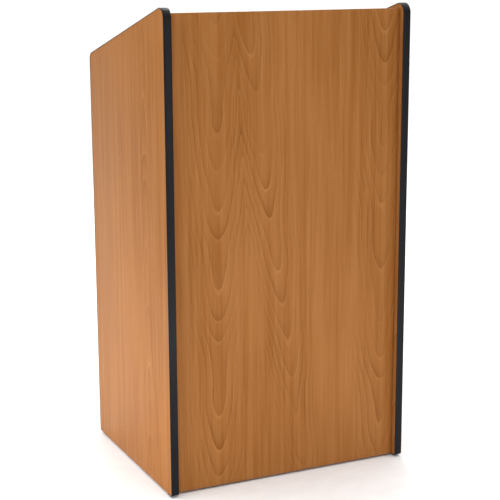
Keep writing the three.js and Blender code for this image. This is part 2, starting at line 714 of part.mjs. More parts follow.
function addCasters(group) {
  const plateHalf = CASTER_PLATE / 2;
  const plate = block([-plateHalf, plateHalf], [-plateHalf, plateHalf], [plateLow, casterHeight - SEAT])
    .subtract(rod(KINGPIN + RUNNING, plateLow - 1, casterHeight + 1));
  const axleHalf = WHEEL_WIDTH / 2 + FORK_GAP + CASTER_METAL + 1;
  const axle = rod(AXLE, -axleHalf, axleHalf).rotate([0, 90, 0]);
  const xs = [["left", CASTER_INSET_X - sideInner], ["right", sideInner - CASTER_INSET_X]];
  const ys = [["front", frontRear + CASTER_INSET_Y], ["back", backFace - CASTER_INSET_Y]];
  for (const [side, x] of xs) {
    for (const [end, y] of ys) {
      const name = `caster_${side}_${end}`;
      const caster = new THREE.Group();
      caster.position.set(x, y, 0);
      group.add(caster);
      add(caster, `${name}_plate`, plate, "steel");
      add(caster, `${name}_fork`, casterFork(), "steel");
      add(caster, `${name}_axle`, axle, "steel", [0, CASTER_TRAIL, WHEEL_RADIUS]);
      add(caster, `${name}_wheel`, casterWheel(), "rubber", [0, CASTER_TRAIL, WHEEL_RADIUS]);
    }
  }
}

const lectern = new THREE.Group();
addSides(lectern);
addPanels(lectern);
addReadingSurface(lectern);
addPullout(lectern);
addShelfPins(lectern);
addDoors(lectern);
addCasters(lectern);

export default lectern;
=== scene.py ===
"""A presentation lectern of wood-grain laminated boards with black vinyl edge molding.

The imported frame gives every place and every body. Each sub-assembly below builds its own meshes
in metres, dresses them in procedural finishes and lets them ride on the frame's bodies.
"""

import json
import logging
import math
from dataclasses import dataclass
from enum import Enum
from typing import Any, ClassVar, Iterable, Sequence

import bmesh
import bpy
from mathutils import Matrix, Vector


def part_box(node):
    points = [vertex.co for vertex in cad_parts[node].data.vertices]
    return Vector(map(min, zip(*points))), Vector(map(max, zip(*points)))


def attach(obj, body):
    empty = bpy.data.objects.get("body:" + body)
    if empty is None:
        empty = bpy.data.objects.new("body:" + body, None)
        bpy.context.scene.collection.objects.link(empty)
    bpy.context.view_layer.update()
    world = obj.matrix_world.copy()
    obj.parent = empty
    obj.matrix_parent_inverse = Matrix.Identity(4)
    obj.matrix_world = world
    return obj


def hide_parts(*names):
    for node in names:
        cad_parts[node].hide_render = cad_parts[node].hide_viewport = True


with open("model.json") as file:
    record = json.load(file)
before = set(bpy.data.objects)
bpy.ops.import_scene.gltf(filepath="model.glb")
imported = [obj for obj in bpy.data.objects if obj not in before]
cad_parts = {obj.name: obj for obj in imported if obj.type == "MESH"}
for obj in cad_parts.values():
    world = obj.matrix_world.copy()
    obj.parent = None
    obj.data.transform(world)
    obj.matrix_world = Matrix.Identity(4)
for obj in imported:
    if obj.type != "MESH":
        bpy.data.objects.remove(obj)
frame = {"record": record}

LOG = logging.getLogger("lectern")
MM = 0.001
SLOPE = math.radians(15.0)
GRAIN_MAP = "grain"
Pair = tuple[float, float]
Box = tuple[Vector, Vector]


class Axis(Enum):
    """The axis that an outline is extruded or turned along."""

    X = 0
    Y = 1
    Z = 2


class Side(Enum):
    """The two sides of the lectern as its audience sees them."""

    LEFT = -1
    RIGHT = 1

    @property
    def word(self) -> str:
        """The side's name, as the frame's names begin."""
        return self.name.lower()

    @property
    def sign(self) -> int:
        """-1 on the left and 1 on the right."""
        return int(self.value)


# ---------------------------------------------------------------------------------------------
# Node wiring
# ---------------------------------------------------------------------------------------------


class Wiring:
    """Places nodes in one tree and links them; a plain number or tuple is set on the socket."""

    def __init__(self, tree: bpy.types.NodeTree) -> None:
        """Keeps the tree.

        Args:
            tree: the shader or geometry tree to work in.
        """
        self.tree = tree

    def node(self, kind: str, **settings: Any) -> bpy.types.Node:
        """Adds a node.

        Args:
            kind: the node's Blender type name.
            settings: properties to set on it.

        Returns:
            The new node.
        """
        made = self.tree.nodes.new(kind)
        made.location = (180.0 * (len(self.tree.nodes) % 12), -220.0 * (len(self.tree.nodes) // 12))
        for name, value in settings.items():
            setattr(made, name, value)
        return made

    def fed(self, kind: str, feeds: dict[Any, Any], **settings: Any) -> bpy.types.Node:
        """Adds a node and fills its inputs.

        Args:
            kind: the node's Blender type name.
            feeds: what goes into its inputs, by their name or number.
            settings: properties to set on it.

        Returns:
            The new node.
        """
        made = self.node(kind, **settings)
        for key, value in feeds.items():
            self.put(made.inputs[key], value)
        return made

    def put(self, socket: bpy.types.NodeSocket, value: Any) -> None:
        """Links a socket into another, or sets it to a plain value.

        Args:
            socket: the input to fill.
            value: an output socket, or a number, colour, vector, material or object.
        """
        if isinstance(value, bpy.types.NodeSocket):
            self.tree.links.new(value, socket)
        else:
            socket.default_value = value

    def math(self, operation: str, *values: Any) -> bpy.types.NodeSocket:
        """Adds a Math node.

        Args:
            operation: the Math node's operation.
            values: its inputs, in order.

        Returns:
            The result's socket.
        """
        return self.fed("ShaderNodeMath", dict(enumerate(values)), operation=operation).outputs[0]

    def vector(self, x: Any, y: Any, z: Any) -> bpy.types.NodeSocket:
        """Joins three values to a vector.

        Args:
            x: first value.
            y: second value.
            z: third value.

        Returns:
            The vector's socket.
        """
        return self.fed("ShaderNodeCombineXYZ", {"X": x, "Y": y, "Z": z}).outputs[0]

    def split(self, vector: Any) -> Sequence[bpy.types.NodeSocket]:
        """The three parts of a vector, as sockets."""
        return self.fed("ShaderNodeSeparateXYZ", {0: vector}).outputs

    def stretched(self, vector: Any, scale: Any) -> bpy.types.NodeSocket:
        """Scales a vector.

        Args:
            vector: the vector's socket.
            scale: the factor along each axis, or a socket that gives it.

        Returns:
            The scaled vector's socket.
        """
        return self.fed("ShaderNodeVectorMath", {0: vector, 1: scale}, operation="MULTIPLY").outputs[0]

    def own_place(self, scale: Any) -> bpy.types.NodeSocket:
        """The object's own coordinates, scaled as in stretched."""
        return self.stretched(self.node("ShaderNodeTexCoord").outputs["Object"], scale)

    def noise(self, vector: Any, detail: float = 2.0, rough: float = 0.5) -> bpy.types.NodeSocket:
        """Adds a noise texture of unit scale.

        Args:
            vector: where it is read.
            detail: how many octaves it has.
            rough: how strong the finer octaves are.

        Returns:
            The value's socket, about 0.5 in the middle.
        """
        feeds = {"Vector": vector, "Scale": 1.0, "Detail": detail, "Roughness": rough}
        return self.fed("ShaderNodeTexNoise", feeds, noise_dimensions="3D").outputs["Fac"]

    def ramp(self, value: Any, start: float, end: float, low: float = 0.0, high: float = 1.0,
             smooth: bool = True) -> bpy.types.NodeSocket:
        """Maps a value from one span to another, clamped.

        Args:
            value: the value's socket.
            start: the value that gives low.
            end: the value that gives high.
            low: the result at start.
            high: the result at end.
            smooth: eased at both ends, or straight.

        Returns:
            The result's socket.
        """
        feeds = dict(enumerate((value, start, end, low, high)))
        kind = "SMOOTHSTEP" if smooth else "LINEAR"
        return self.fed("ShaderNodeMapRange", feeds, interpolation_type=kind).outputs[0]

    def blend(self, factor: Any, first: Any, second: Any) -> bpy.types.NodeSocket:
        """Mixes two colours.

        Args:
            factor: 0 for the first colour and 1 for the second.
            first: the first colour.
            second: the second colour.

        Returns:
            The mixed colour's socket.
        """
        made = self.fed("ShaderNodeMix", {"Factor": factor}, data_type="RGBA")
        for socket, colour in zip((s for s in made.inputs if s.type == "RGBA"), (first, second)):
            self.put(socket, colour)
        return next(s for s in made.outputs if s.type == "RGBA")


@dataclass(frozen=True)
class Port:
    """One named input or output of a node group."""

    name: str
    kind: str = "Float"
    value: Any = None


def open_group(name: str, tree_kind: str, inputs: Sequence[Port], outputs: Sequence[Port]
               ) -> tuple[bpy.types.NodeTree, Wiring, Any, Any]:
    """Starts a node group with named sockets.

    Args:
        name: the group's name.
        tree_kind: ShaderNodeTree or GeometryNodeTree.
        inputs: its inputs, with their usual values.
        outputs: its outputs.

    Returns:
        The tree, its wiring, and the input and output nodes.
    """
    tree = bpy.data.node_groups.new(name, tree_kind)
    for ports, side in ((inputs, "INPUT"), (outputs, "OUTPUT")):
        for port in ports:
            made = tree.interface.new_socket(port.name, in_out=side, socket_type="NodeSocket" + port.kind)
            if port.value is not None:
                made.default_value = port.value
    wiring = Wiring(tree)
    return tree, wiring, wiring.node("NodeGroupInput"), wiring.node("NodeGroupOutput")


def placed_group(wiring: Wiring, tree: bpy.types.NodeTree, **values: Any) -> Any:
    """Places a node group in a material with its own values.

    Args:
        wiring: the material's wiring.
        tree: the group.
        values: its inputs by name, with underscores for spaces.

    Returns:
        The group's outputs.
    """
    feeds = {name.replace("_", " ").title(): value for name, value in values.items()}
    return wiring.fed("ShaderNodeGroup", feeds, node_tree=tree).outputs


# ---------------------------------------------------------------------------------------------
# Effects that several finishes share
# ---------------------------------------------------------------------------------------------


class Effects:
    """The shared shader groups, each built once."""

    def __init__(self) -> None:
        """Builds every group."""
        self.wood = self._wood()
        self.wear = self._wear()
        self.dust = self._dust()
        self.stipple = self._stipple()
        self.brushing = self._brushing()

    @staticmethod
    def _heart(w: Wiring, across: Any, centre: Any, knee: float = 0.05) -> bpy.types.NodeSocket:
        """How far up a ring has climbed beside one heart: flat at the heart, then steep walls.

        Args:
            w: the group's wiring.
            across: the place across the grain.
            centre: where the heart is.
            knee: how far from the heart the walls have their full slope, in metres.

        Returns:
            The climb's socket, in metres.
        """
        off = w.math("DIVIDE", w.math("ABSOLUTE", w.math("SUBTRACT", across, centre)), knee)
        rise = w.math("MULTIPLY", w.math("POWER", off, 2.25), 0.46)
        return w.math("DIVIDE", rise, w.math("ADD", w.math("POWER", off, 1.25), 1.0))

    @staticmethod
    def _wood() -> bpy.types.NodeTree:
        """Flat-sawn figure: nested arches over up to three hearts, with straight grain between them.

        Returns:
            The group.
        """
        inputs = [
            Port("Across"), Port("Along"), Port("Ring Spacing", value=0.105),
            Port("Heart A", value=0.115), Port("Heart B", value=0.418), Port("Heart C", value=0.566),
            Port("Lean", value=-0.14), Port("Waviness", value=0.02),
        ]
        outputs = [Port(name) for name in ("Pale Line", "Dark Line", "Streaks", "Pores", "Tone")]
        tree, w, source, sink = open_group("flat_sawn_figure", "ShaderNodeTree", inputs, outputs)
        across, along = source.outputs["Across"], source.outputs["Along"]
        plane = w.vector(across, along, 0.0)
        slow = w.math("SUBTRACT", w.noise(w.stretched(plane, (5.0, 2.6, 1.0)), 1.5), 0.5)
        quick = w.math("SUBTRACT", w.noise(w.stretched(plane, (60.0, 16.0, 1.0)), 2.0), 0.5)
        here = w.math("ADD", across, w.math("MULTIPLY", slow, source.outputs["Waviness"]))
        here = w.math("MULTIPLY_ADD", quick, 0.0042, here)
        leaning = w.math("MULTIPLY_ADD", along, source.outputs["Lean"], source.outputs["Heart B"])
        climbs = [
            Effects._heart(w, here, source.outputs["Heart A"]),
            w.math("ADD", Effects._heart(w, here, leaning, 0.044), 0.043),
            w.math("ADD", Effects._heart(w, here, source.outputs["Heart C"], 0.053), 0.082),
        ]
        climb = w.math("SMOOTH_MIN", w.math("SMOOTH_MIN", climbs[0], climbs[1], 0.09), climbs[2], 0.09)
        drift = w.noise(w.vector(w.math("MULTIPLY", across, 2.4), w.math("MULTIPLY", along, 5.2), 7.3), 1.0)
        feather = w.noise(w.stretched(plane, (620.0, 16.0, 1.0)), 2.0)
        height = w.math("MULTIPLY_ADD", feather, 0.014, w.math("MULTIPLY_ADD", drift, 0.30, along))
        turns = w.math("DIVIDE", w.math("SUBTRACT", climb, height), source.outputs["Ring Spacing"])
        turn = w.math("FLOOR", turns)
        part = w.math("SUBTRACT", turns, turn)
        each = w.fed("ShaderNodeTexWhiteNoise", {"W": turn}, noise_dimensions="1D")
        strength = w.ramp(each.outputs["Value"], 0.0, 1.0, 0.35, 1.0, smooth=False)
        patchy = w.ramp(w.noise(w.stretched(plane, (13.0, 4.0, 1.0)), 2.0), 0.36, 0.62, 0.25, 1.0)
        near = w.ramp(climb, 0.3, 0.62, 1.0, 0.14)
        strength = w.math("MULTIPLY", w.math("MULTIPLY", strength, patchy), near)
        pale = w.math("MULTIPLY", w.ramp(part, 0.0, 0.16, 1.0, 0.0, smooth=False), strength)
        rising = w.math("POWER", w.ramp(part, 0.25, 0.96, 0.0, 1.0, smooth=False), 2.2)
        ending = w.ramp(part, 0.965, 1.0, 1.0, 0.0)
        dark = w.math("MULTIPLY", w.math("MULTIPLY", rising, ending), strength)
        long_noise = w.noise(w.stretched(plane, (260.0, 5.0, 1.0)), 3.0, 0.55)
        wide_noise = w.noise(w.stretched(plane, (62.0, 1.5, 1.0)), 2.0)
        streaks = w.math("MULTIPLY_ADD", wide_noise, 0.55, w.math("MULTIPLY", long_noise, 0.45))
        pores = w.ramp(w.noise(w.stretched(plane, (1500.0, 75.0, 1.0)), 2.0), 0.6, 0.74)
        tone = w.noise(w.stretched(plane, (4.5, 2.2, 1.0)), 2.0)
        for port, value in zip(outputs, (pale, dark, streaks, pores, tone)):
            w.put(sink.inputs[port.name], value)
        return tree

    @staticmethod
    def _wear() -> bpy.types.NodeTree:
        """Where handling has rubbed an edge: a broken line along each rounded edge.

        Returns:
            The group.
        """
        inputs = [Port("Width", value=0.0012), Port("Breaks", value=90.0), Port("Amount", value=0.6)]
        tree, w, source, sink = open_group("edge_wear", "ShaderNodeTree", inputs, [Port("Mask")])
        rounded = w.fed("ShaderNodeBevel", {"Radius": source.outputs["Width"]}, samples=6).outputs[0]
        straight = w.node("ShaderNodeNewGeometry").outputs["Normal"]
        dot = w.fed("ShaderNodeVectorMath", {0: rounded, 1: straight}, operation="DOT_PRODUCT")
        edge = w.ramp(dot.outputs["Value"], 0.995, 0.9)
        broken = w.ramp(w.noise(w.own_place(source.outputs["Breaks"]), 4.0, 0.6), 0.42, 0.62)
        mask = w.math("MULTIPLY", w.math("MULTIPLY", edge, broken), source.outputs["Amount"])
        w.put(sink.inputs["Mask"], mask)
        return tree

    @staticmethod
    def _dust() -> bpy.types.NodeTree:
        """Fine dust that settles on faces turned up, in soft patches.

        Returns:
            The group.
        """
        tree, w, source, sink = open_group(
            "settled_dust", "ShaderNodeTree", [Port("Amount", value=0.3)], [Port("Mask")])
        upward = w.ramp(w.split(w.node("ShaderNodeNewGeometry").outputs["Normal"])[2], 0.35, 0.95)
        patch = w.ramp(w.noise(w.own_place((9.0, 9.0, 9.0)), 9.0, 0.75), 0.25, 0.8)
        mask = w.math("MULTIPLY", w.math("MULTIPLY", upward, patch), source.outputs["Amount"])
        w.put(sink.inputs["Mask"], mask)
        return tree

    @staticmethod
    def _stipple() -> bpy.types.NodeTree:
        """The fine stipple of moulded and extruded plastics, and the soft smears on it.

        Returns:
            The group.
        """
        tree, w, source, sink = open_group(
            "moulded_stipple", "ShaderNodeTree", [Port("Fineness", value=1400.0)],
            [Port("Height"), Port("Smears")])
        w.put(sink.inputs["Height"], w.noise(w.own_place(source.outputs["Fineness"]), 3.0, 0.6))
        w.put(sink.inputs["Smears"], w.ramp(w.noise(w.own_place((22.0, 22.0, 9.0)), 4.0), 0.3, 0.72))
        return tree

    @staticmethod
    def _brushing() -> bpy.types.NodeTree:
        """Fine parallel lines along one axis of the object.

        Returns:
            The group.
        """
        inputs = [Port("Scale", "Vector", (2200.0, 2200.0, 30.0))]
        tree, w, source, sink = open_group("brushed_lines", "ShaderNodeTree", inputs,
                                           [Port("Lines"), Port("Tarnish")])
        w.put(sink.inputs["Lines"], w.noise(w.own_place(source.outputs["Scale"]), 3.0, 0.6))
        w.put(sink.inputs["Tarnish"], w.ramp(w.noise(w.own_place((60.0, 60.0, 60.0)), 5.0), 0.35, 0.75))
        return tree


# ---------------------------------------------------------------------------------------------
# Finishes
# ---------------------------------------------------------------------------------------------


def linear(red: int, green: int, blue: int) -> tuple[float, float, float, float]:
    """Turns a screen colour into the shader's linear one.

    Args:
        red: 0 to 255.
        green: 0 to 255.
        blue: 0 to 255.

    Returns:
        The linear colour with full alpha.
    """
    parts = [c / 255.0 for c in (red, green, blue)]
    made = [c / 12.92 if c <= 0.04045 else ((c + 0.055) / 1.055) ** 2.4 for c in parts]
    return made[0], made[1], made[2], 1.0


def open_material(name: str) -> tuple[bpy.types.Material, Wiring, bpy.types.Node]:
    """Starts a material with one Principled shader.

    Args:
        name: the material's name.

    Returns:
        The material, its wiring and the shader.
    """
    material = bpy.data.materials.new(name)
    material.use_nodes = True
    wiring = Wiring(material.node_tree)
    shader = material.node_tree.nodes["Principled BSDF"]
    return material, wiring, shader


def relief(wiring: Wiring, shader: bpy.types.Node, height: Any, depth: float, strength: float) -> None:
    """Gives a shader a fine relief.

    Args:
        wiring: the material's wiring.
        shader: the Principled shader.
        height: the relief's height, 0 to 1.
        depth: how deep it is, in metres.
        strength: how much of it shows.
    """
    bump = wiring.fed("ShaderNodeBump", {"Distance": depth, "Strength": strength, "Height": height})
    wiring.put(shader.inputs["Normal"], bump.outputs[0])


@dataclass(frozen=True)
class LaminateFinish:
    """Printed wood-grain laminate with a satin overlay."""

    name: str = "wood_grain_laminate"
    body: tuple[int, int, int] = (145, 89, 37)
    warm: tuple[int, int, int] = (155, 99, 48)
    pale: tuple[int, int, int] = (177, 122, 70)
    dark: tuple[int, int, int] = (117, 64, 14)
    pore: tuple[int, int, int] = (105, 57, 12)
    worn: tuple[int, int, int] = (192, 142, 96)
    dust: tuple[int, int, int] = (206, 198, 188)
    roughness: float = 0.46
    gloss: float = 0.09

    def material(self, effects: Effects) -> bpy.types.Material:
        """Builds the material, read through the piece's own grain map.

        Args:
            effects: the shared groups.

        Returns:
            The material.
        """
        material, w, shader = open_material(self.name)
        across, along, _ = w.split(w.node("ShaderNodeUVMap", uv_map=GRAIN_MAP).outputs[0])
        wood = placed_group(w, effects.wood, across=across, along=along)
        tone = w.ramp(wood["Tone"], 0.3, 0.7)
        colour = w.blend(tone, linear(*self.body), linear(*self.warm))
        streak = w.ramp(wood["Streaks"], 0.34, 0.66)
        layers = ((streak, 0.54, self.pale), (wood["Dark Line"], 0.6, self.dark),
                  (wood["Pale Line"], 0.8, self.pale), (wood["Pores"], 0.35, self.pore))
        for mask, share, tint in layers:
            colour = w.blend(w.math("MULTIPLY", mask, share), colour, linear(*tint))
        wear = placed_group(w, effects.wear, amount=0.35)
        colour = w.blend(wear["Mask"], colour, linear(*self.worn))
        dust = placed_group(w, effects.dust, amount=0.03)
        colour = w.blend(dust["Mask"], colour, linear(*self.dust))
        w.put(shader.inputs["Base Color"], colour)
        shader.inputs["Specular IOR Level"].default_value = self.gloss
        rough = w.math("MULTIPLY_ADD", wood["Pores"], 0.12, self.roughness)
        w.put(shader.inputs["Roughness"], w.math("MULTIPLY_ADD", tone, 0.05, rough))
        height = w.math("SUBTRACT", streak, w.math("MULTIPLY", wood["Pores"], 1.4))
        relief(w, shader, height, 0.00006, 0.5)
        return material


@dataclass(frozen=True)
class PlasticFinish:
    """A dark plastic, extruded or moulded."""

    name: str
    body: tuple[int, int, int]
    worn: tuple[int, int, int]
    roughness: float
    fineness: float
    depth: float
    wear: float = 0.4
    dust: float = 0.2
    gloss: float = 0.4

    def material(self, effects: Effects) -> bpy.types.Material:
        """Builds the material.

        Args:
            effects: the shared groups.

        Returns:
            The material.
        """
        material, w, shader = open_material(self.name)
        stipple = placed_group(w, effects.stipple, fineness=self.fineness)
        wear = placed_group(w, effects.wear, amount=self.wear, breaks=140.0)
        dust = placed_group(w, effects.dust, amount=self.dust)
        body = linear(*self.body)
        softer = tuple(min(1.0, c * 1.35) for c in body[:3]) + (1.0,)
        colour = w.blend(stipple["Smears"], body, softer)
        colour = w.blend(wear["Mask"], colour, linear(*self.worn))
        colour = w.blend(dust["Mask"], colour, linear(150, 145, 138))
        w.put(shader.inputs["Base Color"], colour)
        shader.inputs["Specular IOR Level"].default_value = self.gloss
        rough = w.math("MULTIPLY_ADD", stipple["Smears"], 0.09, self.roughness)
        w.put(shader.inputs["Roughness"], w.math("MULTIPLY_ADD", dust["Mask"], 0.3, rough))
        relief(w, shader, stipple["Height"], self.depth, 0.6)
        return material


@dataclass(frozen=True)
class MetalFinish:
    """A metal with fine lines in it and a little tarnish."""

    name: str
    body: tuple[int, int, int]
    tarnish: tuple[int, int, int]
    roughness: float
    lines: tuple[float, float, float]
    spangle: bool = False

    def material(self, effects: Effects) -> bpy.types.Material:
        """Builds the material.

        Args:
            effects: the shared groups.

        Returns:
            The material.
        """
        material, w, shader = open_material(self.name)
        shader.inputs["Metallic"].default_value = 1.0
        brushing = placed_group(w, effects.brushing, scale=self.lines)
        wear = placed_group(w, effects.wear, amount=0.5, width=0.0006)
        colour = w.blend(w.math("MULTIPLY", brushing["Tarnish"], 0.5),
                         linear(*self.body), linear(*self.tarnish))
        rough = w.math("MULTIPLY_ADD", brushing["Tarnish"], 0.14, self.roughness)
        if self.spangle:
            place = w.node("ShaderNodeTexCoord").outputs["Object"]
            cells = w.fed("ShaderNodeTexVoronoi", {"Vector": place, "Scale": 260.0})
            dull, coarse, _ = w.split(cells.outputs["Color"])
            colour = w.blend(w.math("MULTIPLY", dull, 0.12), colour, linear(140, 144, 150))
            rough = w.math("MULTIPLY_ADD", coarse, 0.08, rough)
        colour = w.blend(wear["Mask"], colour, linear(232, 232, 230))
        w.put(shader.inputs["Base Color"], colour)
        w.put(shader.inputs["Roughness"], w.math("MULTIPLY_ADD", brushing["Lines"], 0.1, rough))
        relief(w, shader, brushing["Lines"], 0.00002, 0.5)
        return material


@dataclass(frozen=True)
class FloorFinish:
    """A plain pale studio floor with a barely mottled surface."""

    name: str = "studio_floor"

    def material(self, effects: Effects) -> bpy.types.Material:
        """Builds the material.

        Args:
            effects: the shared groups.

        Returns:
            The material.
        """
        material, w, shader = open_material(self.name)
        stipple = placed_group(w, effects.stipple, fineness=300.0)
        colour = w.blend(stipple["Smears"], linear(246, 246, 246), linear(250, 250, 250))
        w.put(shader.inputs["Base Color"], colour)
        shader.inputs["Roughness"].default_value = 0.9
        shader.inputs["Specular IOR Level"].default_value = 0.1
        return material


class Palette:
    """Every finish as a ready material."""

    def __init__(self, effects: Effects) -> None:
        """Builds the materials.

        Args:
            effects: the shared groups.
        """
        plastics = (
            ("seam", "laminate_seam", (96, 56, 30), (130, 84, 50), 0.5, 900.0, 0.00002, 0.2, 0.0),
            ("vinyl", "black_vinyl", (15, 15, 19), (60, 60, 64), 0.3, 900.0, 0.00002, 0.4, 0.04, 0.16),
            ("plastic", "black_plastic", (26, 26, 27), (70, 70, 70), 0.5, 1600.0, 0.00004, 0.4, 0.2),
            ("rubber", "wheel_rubber", (40, 40, 42), (84, 84, 84), 0.74, 700.0, 0.00006, 0.6, 0.3),
            ("hub", "wheel_hub", (58, 58, 60), (110, 110, 110), 0.45, 1600.0, 0.00003, 0.4, 0.2),
        )
        metals = (
            ("zinc", "zinc_steel", (176, 178, 183), (140, 139, 135), 0.3, (900.0, 60.0, 900.0), True),
            ("plated", "nickel_plated_steel", (178, 174, 167), (160, 155, 147), 0.27, (1800.0, 1800.0, 26.0)),
            ("nickel", "satin_nickel", (204, 199, 190), (160, 152, 140), 0.24, (2400.0, 2400.0, 40.0)),
            ("dark_steel", "oiled_steel", (96, 94, 92), (60, 56, 52), 0.36, (600.0, 600.0, 600.0)),
        )
        self.wood = LaminateFinish().material(effects)
        for key, *values in plastics:
            setattr(self, key, PlasticFinish(*values).material(effects))
        for key, *values in metals:
            setattr(self, key, MetalFinish(*values).material(effects))
        self.floor = FloorFinish().material(effects)


# ---------------------------------------------------------------------------------------------
# Mesh work
# ---------------------------------------------------------------------------------------------


def raised(axis: Axis, pair: Pair, height: float) -> Vector:
    """Places an outline's point at a height along an axis.

    Args:
        axis: the axis of the height; the outline's two values take the other two in order.
        pair: the outline's point.
        height: the distance along the axis.

    Returns:
        The point in space.
    """
    if axis is Axis.X:
        return Vector((height, pair[0], pair[1]))
    if axis is Axis.Y:
        return Vector((pair[0], height, pair[1]))
    return Vector((pair[0], pair[1], height))


def prism(outline: Sequence[Pair], low: float, high: float, axis: Axis) -> bmesh.types.BMesh:
    """Extrudes a closed outline between two heights.

    Args:
        outline: its points in order.
        low: the lower height.
        high: the upper height.
        axis: the axis it is extruded along.

    Returns:
        The closed mesh.
    """
    bm = bmesh.new()
    rings = [[bm.verts.new(raised(axis, pair, height)) for pair in outline] for height in (low, high)]
    count = len(outline)
    bm.faces.new(rings[0])
    bm.faces.new(rings[1])
    for i in range(count):
        bm.faces.new((rings[0][i], rings[0][(i + 1) % count], rings[1][(i + 1) % count], rings[1][i]))
    bmesh.ops.recalc_face_normals(bm, faces=bm.faces)
    return bm


def slab(low: Vector, high: Vector) -> bmesh.types.BMesh:
    """A block between two corners.

    Args:
        low: the lowest corner.
        high: the highest corner.

    Returns:
        The closed mesh.
    """
    outline = [(low.x, low.y), (high.x, low.y), (high.x, high.y), (low.x, high.y)]
    return prism(outline, low.z, high.z, Axis.Z)


def ease_edges(bm: bmesh.types.BMesh, width: float, steps: int = 2, angle: float = 40.0, slot: int = -1
               ) -> None:
    """Rounds every sharp edge.

    Args:
        bm: the mesh.
        width: how far the rounding reaches on each face.
        steps: its number of faces.
        angle: the least angle of a sharp edge, in degrees.
        slot: a material slot for the rounding, or -1 to leave it.
    """
    sharp = [e for e in bm.edges if len(e.link_faces) == 2 and e.calc_face_angle(0.0) > math.radians(angle)]
    made = bmesh.ops.bevel(bm, geom=sharp, offset=width, segments=steps, profile=0.5, affect="EDGES",
                           clamp_overlap=True)
    if slot >= 0:
        for face in made["faces"]:
            face.material_index = slot


def turned(profile: Sequence[Pair], segments: int, place: Matrix = Matrix.Identity(4)
           ) -> bmesh.types.BMesh:
    """Turns a closed profile of radius and height round the Z axis.

    Args:
        profile: its points in order; a radius of 0 lies on the axis.
        segments: how many steps go round.
        place: where the turned mesh is then put.

    Returns:
        The closed mesh.
    """
    bm = bmesh.new()
    rings = []
    for step in range(segments):
        around = 2.0 * math.pi * step / segments
        rings.append([bm.verts.new((r * math.cos(around), r * math.sin(around), h)) for r, h in profile])
    count = len(profile)
    for step in range(segments):
        first, second = rings[step], rings[(step + 1) % segments]
        for i in range(count):
            j = (i + 1) % count
            if profile[i][0] == 0.0 and profile[j][0] == 0.0:
                continue
            bm.faces.new((first[i], second[i], second[j], first[j]))
    bmesh.ops.remove_doubles(bm, verts=bm.verts, dist=1e-7)
    bmesh.ops.recalc_face_normals(bm, faces=bm.faces)
    bmesh.ops.transform(bm, matrix=place, verts=bm.verts)
    return bm


def drill(radius: float, low: float, high: float, segments: int, place: Matrix) -> bmesh.types.BMesh:
    """A round cutter between two heights on its axis.

    Args:
        radius: its radius.
        low: its lower height.
        high: its upper height.
        segments: how many steps go round.
        place: where it is put.

    Returns:
        The closed mesh.
    """
    return turned([(0.0, low), (radius, low), (radius, high), (0.0, high)], segments, place)


def tube(path: Sequence[Vector], radii: Sequence[float], segments: int) -> bmesh.types.BMesh:
    """A round bar along a path that lies in a plane square to X.

    Args:
        path: the points of its middle line.
        radii: its radius at each point.
        segments: how many steps go round.

    Returns:
        The closed mesh.
    """
    bm = bmesh.new()
    rings = []
    across = Vector((1.0, 0.0, 0.0))
    for i, point in enumerate(path):
        ahead = (path[min(i + 1, len(path) - 1)] - path[max(i - 1, 0)]).normalized()
        up = ahead.cross(across).normalized()
        ring = []
        for step in range(segments):
            around = 2.0 * math.pi * step / segments
            ring.append(bm.verts.new(point + radii[i] * (math.cos(around) * across + math.sin(around) * up)))
        rings.append(ring)
    for first, second in zip(rings, rings[1:]):
        for step in range(segments):
            after = (step + 1) % segments
            bm.faces.new((first[step], first[after], second[after], second[step]))
    bm.faces.new(rings[0])
    bm.faces.new(rings[-1])
    bmesh.ops.recalc_face_normals(bm, faces=bm.faces)
    return bm


def joined(meshes: Iterable[bmesh.types.BMesh]) -> bmesh.types.BMesh:
    """Puts several meshes in one.

    Args:
        meshes: the meshes, which are used up.

    Returns:
        The mesh of all of them.
    """
    whole = bmesh.new()
    for bm in meshes:
        part = bpy.data.meshes.new("part")
        bm.to_mesh(part)
        bm.free()
        whole.from_mesh(part)
        bpy.data.meshes.remove(part)
    return whole


def object_of(name: str, bm: bmesh.types.BMesh, materials: Sequence[bpy.types.Material],
              smooth: float = 32.0) -> bpy.types.Object:
    """Makes an object of a mesh, at the origin.

    Args:
        name: the object's name.
        bm: the mesh, which is used up.
        materials: its material slots.
        smooth: edges under this angle are shaded smooth, in degrees.

    Returns:
        The object.
    """
    mesh = bpy.data.meshes.new(name)
    bm.to_mesh(mesh)
    bm.free()
    made = bpy.data.objects.new(name, mesh)
    bpy.context.scene.collection.objects.link(made)
    for material in materials:
        mesh.materials.append(material)
    shade(mesh, smooth)
    return made


def shade(mesh: bpy.types.Mesh, smooth: float) -> None:
    """Shades a mesh smooth except at its sharp edges.

    Args:
        mesh: the mesh.
        smooth: the least angle of a sharp edge, in degrees.
    """
    mesh.shade_smooth()
    mesh.set_sharp_from_angle(angle=math.radians(smooth))


def settled(made: bpy.types.Object, smooth: float = 32.0) -> bpy.types.Object:
    """Turns an object's modifiers into plain mesh and removes them.

    Args:
        made: the object.
        smooth: the least angle of a sharp edge, in degrees.

    Returns:
        The same object.
    """
    bpy.context.view_layer.update()
    ready = made.evaluated_get(bpy.context.evaluated_depsgraph_get())
    mesh = bpy.data.meshes.new_from_object(ready)
    made.modifiers.clear()
    old = made.data
    made.data = mesh
    mesh.name = made.name
    bpy.data.meshes.remove(old)
    shade(mesh, smooth)
    return made


